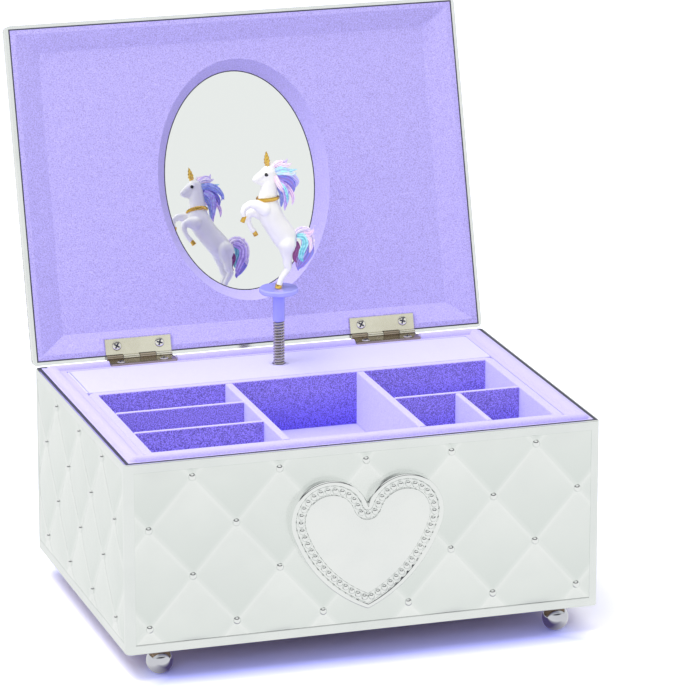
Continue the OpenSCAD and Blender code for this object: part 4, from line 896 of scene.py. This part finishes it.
def add_flesh(shape, balls, squeeze=1.0):
    """Tapered muscle through a row of balls, each given as x, y, z and radius."""
    for first, second in zip(balls, balls[1:]):
        part = bmesh.new()
        for x, y, z, r in (first, second):
            add_ball(part, x, y, z, r, squeeze)
        hull = bmesh.ops.convex_hull(part, input=part.verts)
        loose = [v for v in part.verts if not v.link_faces]
        inner = [g for g in hull["geom_interior"] if isinstance(g, bmesh.types.BMVert)]
        bmesh.ops.delete(part, geom=list({*loose, *inner}), context="VERTS")
        mesh = bpy.data.meshes.new("part")
        part.to_mesh(mesh)
        part.free()
        shape.from_mesh(mesh)
        bpy.data.meshes.remove(mesh)


def spread_legs(balls, y, shift=0.0):
    return [(x + shift, y, z, r) for x, z, r in balls]


# legs: x, z and radius from the shoulder or the hip down, in millimetres on the figure
HIND_LEG = [
    (2.5, 15.4, 3.2), (2.3, 13.0, 2.2), (2.6, 10.8, 1.7), (2.5, 8.8, 1.4), (3, 6.9, 1.2),
    (2.1, 5.4, 1.05), (0.9, 3.9, 0.95), (0.1, 2.4, 0.95), (-0.3, 1.3, 1.0),
]
RAISED_LEG = [
    (-5.4, 28.0, 2.4), (-8.0, 29.7, 1.75), (-10.5, 30.1, 1.25), (-12.1, 29.2, 1.1), (-12.9, 27.9, 0.9),
    (-12.7, 26.6, 0.75), (-12.3, 25.9, 0.72),
]
BENT_LEG = [
    (-5.6, 25.9, 2.4), (-7.7, 26.5, 1.75), (-9.5, 26.1, 1.3), (-10.1, 24.8, 1.05), (-9.9, 23.2, 0.8),
    (-9.4, 21.7, 0.8), (-8.7, 20.5, 0.85), (-8.3, 20.0, 0.9),
]


def unicorn_body():
    """Trunk, neck, head and legs as one casting: tapered muscles, fused and smoothed."""
    shape = bmesh.new()
    add_flesh(shape, [
        (-3.9, 0, 29.3, 3.6), (-3.3, 0, 26.8, 4.1), (-2.3, 0, 24.3, 4.1), (-0.9, 0, 21.9, 4.0),
        (0.6, 0, 19.7, 4.1), (2.0, 0, 17.5, 4.15), (2.5, 0, 15.7, 3.4),
    ], 0.84)
    add_flesh(shape, [
        (-3.8, 0, 30.0, 3.6), (-3.5, 0, 32.6, 3.1), (-3.2, 0, 35.2, 2.85), (-3.0, 0, 37.8, 2.6),
        (-3.1, 0, 39.8, 2.6),
    ], 0.7)
    add_flesh(shape, [
        (-3.1, 0, 40.1, 2.65), (-4.8, 0, 39.5, 2.15), (-6.5, 0, 38.7, 1.65), (-7.6, 0, 38.2, 1.3),
        (-7.9, 0, 38.0, 1.15),
    ], 0.7)
    add_flesh(shape, [(-3.4, 0, 38.4, 2.5), (-5.2, 0, 37.4, 1.7), (-7.2, 0, 37.3, 0.95)], 0.7)
    add_flesh(shape, [(-3.6, 0, 41.2, 1.3), (-4.1, 0, 41.8, 0.9)], 0.8)
    for y in (-1.15, 1.15):
        add_flesh(shape, [(-4.2, y, 40.1, 0.75), (-3.3, y * 1.05, 40.0, 0.6)])
        add_flesh(shape, [(-7.9, y * 0.42, 38.1, 0.45), (-7.4, y * 0.5, 38.0, 0.5)])
    add_flesh(shape, spread_legs(HIND_LEG, -1.45))
    add_flesh(shape, spread_legs(HIND_LEG, 1.45, 1.1))
    add_flesh(shape, spread_legs(RAISED_LEG, -1.75))
    add_flesh(shape, spread_legs(BENT_LEG, 1.75))
    piece = finish_figure("unicorn_body", shape, WHITE_RESIN, 80)
    fuse = piece.modifiers.new("fuse", "REMESH")
    fuse.mode = "VOXEL"
    fuse.voxel_size = 0.2 * MM
    fuse.use_smooth_shade = True
    soft = piece.modifiers.new("soften", "SMOOTH")
    soft.iterations = 9
    soft.factor = 0.6
    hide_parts("unicorn")


def ear(y):
    """A pointed ear, leaning out. The figure's near side has a negative y."""
    shape = bmesh.new()
    made = bmesh.ops.create_cone(shape, cap_ends=True, segments=16, radius1=0.75, radius2=0.06, depth=2.6)
    place = (
        Matrix.Translation(figure_place(-2.3, y, 42.5))
        @ turned(14, "Y")
        @ turned(-8 if y > 0 else 8, "X")
        @ Matrix.Diagonal((0.8, 0.5, 1, 1))
    )
    bmesh.ops.transform(shape, matrix=place, verts=made["verts"])
    finish_figure("ear_far" if y > 0 else "ear_near", shape, WHITE_RESIN, 50)


def hoof(name, top, bottom, y, radius):
    """A gold hoof: a short flared cone from the fetlock to the ground, with a rounded toe."""
    shape = bmesh.new()
    a, b = figure_place(top[0], y, top[1]), figure_place(bottom[0], y, bottom[1])
    bmesh.ops.create_cone(
        shape, cap_ends=True, segments=20, radius1=radius * 0.82, radius2=radius, depth=(b - a).length
    )
    bmesh.ops.bevel(
        shape, geom=[e for e in shape.edges if e.calc_face_angle(0) > 1], offset=0.18, segments=2,
        profile=0.5, affect="EDGES", material=-1,
    )
    bmesh.ops.transform(shape, matrix=Matrix.Translation((a + b) / 2) @ pointing(a, b), verts=shape.verts)
    finish_figure(name, shape, GOLD, 40)


def horn():
    """A tapered horn whose ridges wind round it."""
    radius, ridges, turns, steps = 1.05, 3, 1.5, 30
    sides = ridges * 4
    shape = bmesh.new()
    a, b = figure_place(-3.9, 0, 42.2), figure_place(-4.2, 0, 47.5)
    rings = []
    for k in range(steps + 1):
        share = k / steps
        swell = radius * min(1, 0.55 + 1.4 * share) * (1 - share**2.2) ** 0.9
        points = []
        for s in range(sides):
            angle = 2 * math.pi * (s / sides + turns * share)
            r = max(swell * (1 + 0.16 * math.cos(ridges * 2 * math.pi * s / sides)), 0.03)
            points.append((r * math.cos(angle), r * math.sin(angle), share))
        rings.append(add_ring(shape, points))
    skin_rings(shape, rings)
    bmesh.ops.recalc_face_normals(shape, faces=shape.faces)
    stretch = Matrix.Diagonal((1, 1, (b - a).length, 1))
    bmesh.ops.transform(shape, matrix=Matrix.Translation(a) @ pointing(a, b) @ stretch, verts=shape.verts)
    finish_figure("horn", shape, GOLD, 60)


def lock_of_hair(name, route, light, deep):
    """A lock that swells and tapers along its route, combed into strands. The route's points are
    x, y, z and half width."""
    shape = bmesh.new()
    groove_layer = shape.verts.layers.float.new("groove")
    flat, strands, per_leg = 0.62, 5, 6
    stations = []
    points = [figure_place(*p[:3]) for p in route]
    widths = [p[3] for p in route]
    count = (len(points) - 1) * per_leg
    for k in range(count + 1):
        t = k / per_leg
        i = min(int(t), len(points) - 2)
        u = t - i
        before, after = max(i - 1, 0), min(i + 2, len(points) - 1)
        quad = (points[before], points[i], points[i + 1], points[after])
        place = 0.5 * (
            2 * quad[1] + (quad[2] - quad[0]) * u
            + (2 * quad[0] - 5 * quad[1] + 4 * quad[2] - quad[3]) * u**2
            + (3 * quad[1] - quad[0] - 3 * quad[2] + quad[3]) * u**3
        )
        stations.append((place, widths[i] + (widths[i + 1] - widths[i]) * u))
    rings = []
    sides = strands * 4
    for k, (place, width) in enumerate(stations):
        ahead = stations[min(k + 1, count)][0] - stations[max(k - 1, 0)][0]
        across = ahead.cross(Vector((0, 1, 0))).normalized()
        verts = []
        for s in range(sides):
            angle = 2 * math.pi * s / sides + 0.9 * k / count
            strand = math.cos(strands * 2 * math.pi * s / sides)
            reach = width * (1 + 0.26 * strand)
            offset = across * reach * math.cos(angle) + Vector((0, flat * reach * math.sin(angle), 0))
            verts.append(shape.verts.new(place + offset))
            verts[-1][groove_layer] = 0.5 - 0.5 * strand
        rings.append([shape.edges.new((p, q)) for p, q in zip(verts, verts[1:] + verts[:1])])
    skin_rings(shape, rings)
    bmesh.ops.recalc_face_normals(shape, faces=shape.faces)
    finish_figure(name, shape, hair_paint("paint_" + name, light, deep), 50)


LILAC, DEEP_LILAC = (0.62, 0.5, 0.9), (0.34, 0.22, 0.72)
PINK, PEARL, PALE_LILAC = (0.95, 0.66, 0.84), (0.93, 0.86, 0.95), (0.72, 0.62, 0.92)
AQUA, DEEP_AQUA = (0.42, 0.88, 0.9), (0.12, 0.56, 0.68)
SKY, DEEP_SKY = (0.46, 0.56, 0.95), (0.2, 0.24, 0.74)
MAROON, DEEP_MAROON = (0.36, 0.08, 0.3), (0.2, 0.03, 0.18)

# each lock of the mane and the tail: its light and its deep paint, and its route as x, y, z and half width
HAIR = (
    ("forelock", PEARL, PINK,
     (-2.4, -0.8, 41.9, 0.5), (-0.9, -1.0, 43.2, 0.7), (0.7, -0.9, 43.5, 0.55), (1.4, -0.8, 44.3, 0.08)),
    ("crest", PALE_LILAC, LILAC,
     (-1.6, 0.3, 41.6, 0.6), (0.9, 0.4, 42.9, 0.8), (2.4, 0.4, 43.0, 0.55), (3.3, 0.3, 44.3, 0.06)),
    ("crest_pink", PINK, PEARL,
     (-1.0, -0.7, 41.9, 0.5), (1.2, -1.2, 42.4, 0.75), (3.0, -1.1, 42.3, 0.5), (4.4, -0.9, 42.9, 0.06)),
    ("crest_pearl", PEARL, LILAC,
     (-1.4, 0.9, 41.4, 0.5), (0.6, 1.2, 42.1, 0.7), (2.6, 1.1, 41.8, 0.5), (4.0, 0.9, 42.2, 0.06)),
    ("aqua", AQUA, SKY,
     (-1.6, -1.0, 40.6, 0.6), (0.6, -1.7, 41.2, 0.85), (3.0, -1.5, 40.6, 0.65), (6.3, -1.1, 40.7, 0.06)),
    ("aqua_low", AQUA, PEARL,
     (-1.0, -1.2, 40.0, 0.5), (1.6, -1.8, 40.1, 0.75), (4.2, -1.5, 39.4, 0.55), (6.1, -1.1, 39.5, 0.06)),
    ("sky", SKY, LILAC,
     (-1.0, -0.4, 39.6, 0.7), (2.0, -0.9, 39.8, 1.0), (4.8, -0.8, 38.6, 0.85), (6.5, -0.6, 36.4, 0.6),
     (5.9, -0.5, 34.4, 0.06)),
    ("sky_far", DEEP_SKY, SKY,
     (-1.0, 0.9, 39.4, 0.7), (1.8, 1.4, 39.5, 1.0), (4.6, 1.3, 38.0, 0.85), (6.1, 1.0, 35.8, 0.5),
     (6.4, 0.8, 34.2, 0.06)),
    ("pink_near", PINK, PEARL,
     (-1.5, -1.3, 39.2, 0.5), (-0.9, -2.0, 37.4, 0.75), (0.1, -2.2, 35.4, 0.75), (1.2, -2.0, 33.2, 0.06)),
    ("violet", DEEP_SKY, DEEP_LILAC,
     (-0.7, -0.6, 38.4, 0.8), (2.0, -1.2, 38.0, 1.1), (4.0, -1.1, 36.4, 1.0), (4.9, -0.9, 34.2, 0.7),
     (4.6, -0.8, 32.2, 0.06)),
    ("lilac_near", LILAC, DEEP_LILAC,
     (-0.4, -1.2, 37.0, 0.7), (1.2, -1.9, 35.6, 1.0), (2.2, -1.9, 33.2, 0.95), (2.4, -1.7, 30.6, 0.75),
     (1.9, -1.5, 28.6, 0.5), (1.8, -1.4, 26.9, 0.06)),
    ("aqua_thread", AQUA, DEEP_AQUA,
     (0.2, -1.9, 36.8, 0.3), (1.6, -2.6, 34.8, 0.42), (2.4, -2.5, 32.0, 0.35), (2.4, -2.3, 29.6, 0.05)),
    ("pink_tip", PINK, LILAC,
     (1.6, -0.7, 36.6, 0.5), (3.4, -1.0, 34.6, 0.75), (4.7, -0.9, 32.0, 0.6), (4.9, -0.8, 29.9, 0.4),
     (4.5, -0.7, 28.4, 0.06)),
    ("neck_blue", DEEP_SKY, SKY,
     (-0.4, 0.2, 36.2, 0.9), (1.0, 0.2, 34.2, 1.1), (1.5, 0.1, 31.6, 0.9), (1.1, 0.1, 29.2, 0.5),
     (1.0, 0, 27.8, 0.06)),
    ("far_violet", DEEP_LILAC, SKY,
     (-0.4, 1.2, 37.6, 0.8), (1.4, 1.9, 35.8, 1.0), (2.2, 1.9, 33.0, 0.9), (1.9, 1.7, 30.2, 0.6),
     (1.5, 1.5, 28.4, 0.06)),
    ("tail_top", PEARL, LILAC,
     (5.2, 0, 16.8, 0.9), (7.2, 0, 18.8, 1.2), (9.8, 0, 18.8, 1.25), (11.5, 0, 16.6, 1.05),
     (11.6, 0, 13.8, 0.9), (11.0, 0, 11.2, 0.6), (11.2, 0, 9.6, 0.06)),
    ("tail_flick", PALE_LILAC, PINK,
     (8.6, -0.8, 18.4, 0.5), (10.6, -1.1, 18.0, 0.6), (11.7, -1.0, 19.0, 0.35), (12.0, -0.9, 20.0, 0.05)),
    ("tail_pink", PINK, PEARL,
     (8.2, -1.3, 18.0, 0.5), (10.2, -1.7, 16.4, 0.6), (10.8, -1.8, 13.6, 0.6), (10.2, -1.6, 11.4, 0.06)),
    ("tail_aqua", AQUA, DEEP_AQUA,
     (6.2, -1.0, 17.6, 0.6), (8.4, -1.6, 17.2, 0.95), (8.9, -1.8, 14.8, 0.95), (7.8, -1.7, 12.4, 0.9),
     (7.4, -1.5, 10.2, 0.7), (8.3, -1.3, 8.6, 0.06)),
    ("tail_far", LILAC, DEEP_LILAC,
     (7.0, 0.9, 17.6, 0.8), (9.6, 1.3, 15.8, 1.1), (9.6, 1.4, 12.8, 1.1), (8.2, 1.3, 10.0, 1.0),
     (6.9, 1.0, 7.6, 0.7), (6.9, 0.7, 5.9, 0.08)),
    ("tail_maroon", MAROON, DEEP_MAROON,
     (6.0, -0.3, 15.4, 0.6), (6.6, -0.6, 13.0, 0.8), (5.7, -0.8, 11.2, 0.85), (5.4, -0.8, 9.6, 0.5),
     (6.1, -0.7, 8.3, 0.06)),
    ("tail_violet", DEEP_SKY, DEEP_LILAC,
     (10.8, -0.8, 14.6, 0.7), (11.0, -1.1, 12.0, 1.0), (9.8, -1.1, 9.6, 0.95), (8.0, -0.9, 7.6, 0.85),
     (6.8, -0.7, 6.4, 0.5), (6.7, -0.6, 5.4, 0.06)),
)


def collar():
    """A gold band round the base of the neck, widest at its sides."""
    shape = bmesh.new()
    made = bmesh.ops.create_circle(shape, cap_ends=False, segments=12, radius=1)
    stand_up = turned(90, "X") @ Matrix.Diagonal((0.3, 0.72, 1, 1))
    bmesh.ops.transform(shape, matrix=Matrix.Translation((3.3, 0, 0)) @ stand_up, verts=made["verts"])
    bmesh.ops.spin(
        shape, geom=shape.verts[:] + shape.edges[:], cent=(0, 0, 0), axis=(0, 0, 1), angle=2 * math.pi,
        steps=48, use_merge=True,
    )
    bmesh.ops.remove_doubles(shape, verts=shape.verts, dist=0.01)
    for v in shape.verts:
        v.co.z *= 0.55 + 0.45 * abs(v.co.y) / 3.3
    bmesh.ops.recalc_face_normals(shape, faces=shape.faces)
    place = Matrix.Translation(figure_place(-3.75, 0, 31.3)) @ turned(-3, "Y")
    size = Matrix.Diagonal((1.12, 0.86, 1, 1))
    bmesh.ops.transform(shape, matrix=place @ size, verts=shape.verts)
    finish_figure("collar", shape, GOLD, 60)


def eye(y):
    """A glossy eye, let half into the head."""
    shape = bmesh.new()
    made = bmesh.ops.create_uvsphere(shape, u_segments=20, v_segments=12, radius=1)
    place = Matrix.Translation(figure_place(-4.55, y, 39.75)) @ turned(-12, "Y")
    size = Matrix.Diagonal((0.72, 0.3, 0.66, 1))
    bmesh.ops.transform(shape, matrix=place @ size, verts=made["verts"])
    finish_figure("eye_far" if y > 0 else "eye_near", shape, EYE_BLACK, 60)


def make_figure():
    coil_post()
    finish_node(["figure_stand"], PERIWINKLE)
    unicorn_body()
    for y in (-0.95, 0.95):
        ear(y)
    for y in (-1.58, 1.58):
        eye(y)
    horn()
    collar()
    hoof("hoof_hind_near", (-0.2, 1.4), (-0.75, 0.02), -1.45, 1.25)
    hoof("hoof_hind_far", (0.9, 1.4), (0.4, 0.02), 1.45, 1.25)
    hoof("hoof_raised", (-12.2, 26.3), (-13.2, 24.1), -1.75, 0.82)
    hoof("hoof_bent", (-8.2, 20.0), (-7.3, 18.2), 1.75, 0.85)
    for name, light, deep, *route in HAIR:
        lock_of_hair(name, route, light, deep)


# ---------------- the whole
bpy.context.scene.view_settings.view_transform = "Standard"
add_camera()
light_world()
add_softbox("high_softbox", (-0.4, -0.1, 1.0), (0, 0, 0.05), 0.5, 5.4)
add_softbox("back_softbox", (-0.25, 0.36, 1.0), (0, 0.03, 0.12), 0.4, 2.6)
add_softbox("front_softbox", (-0.75, -1.3, 0.7), (0, 0.05, 0.12), 0.7, 5)
lay_floor()
make_case()
make_lining()
make_lid()
make_hinges()
make_movement()
make_figure()
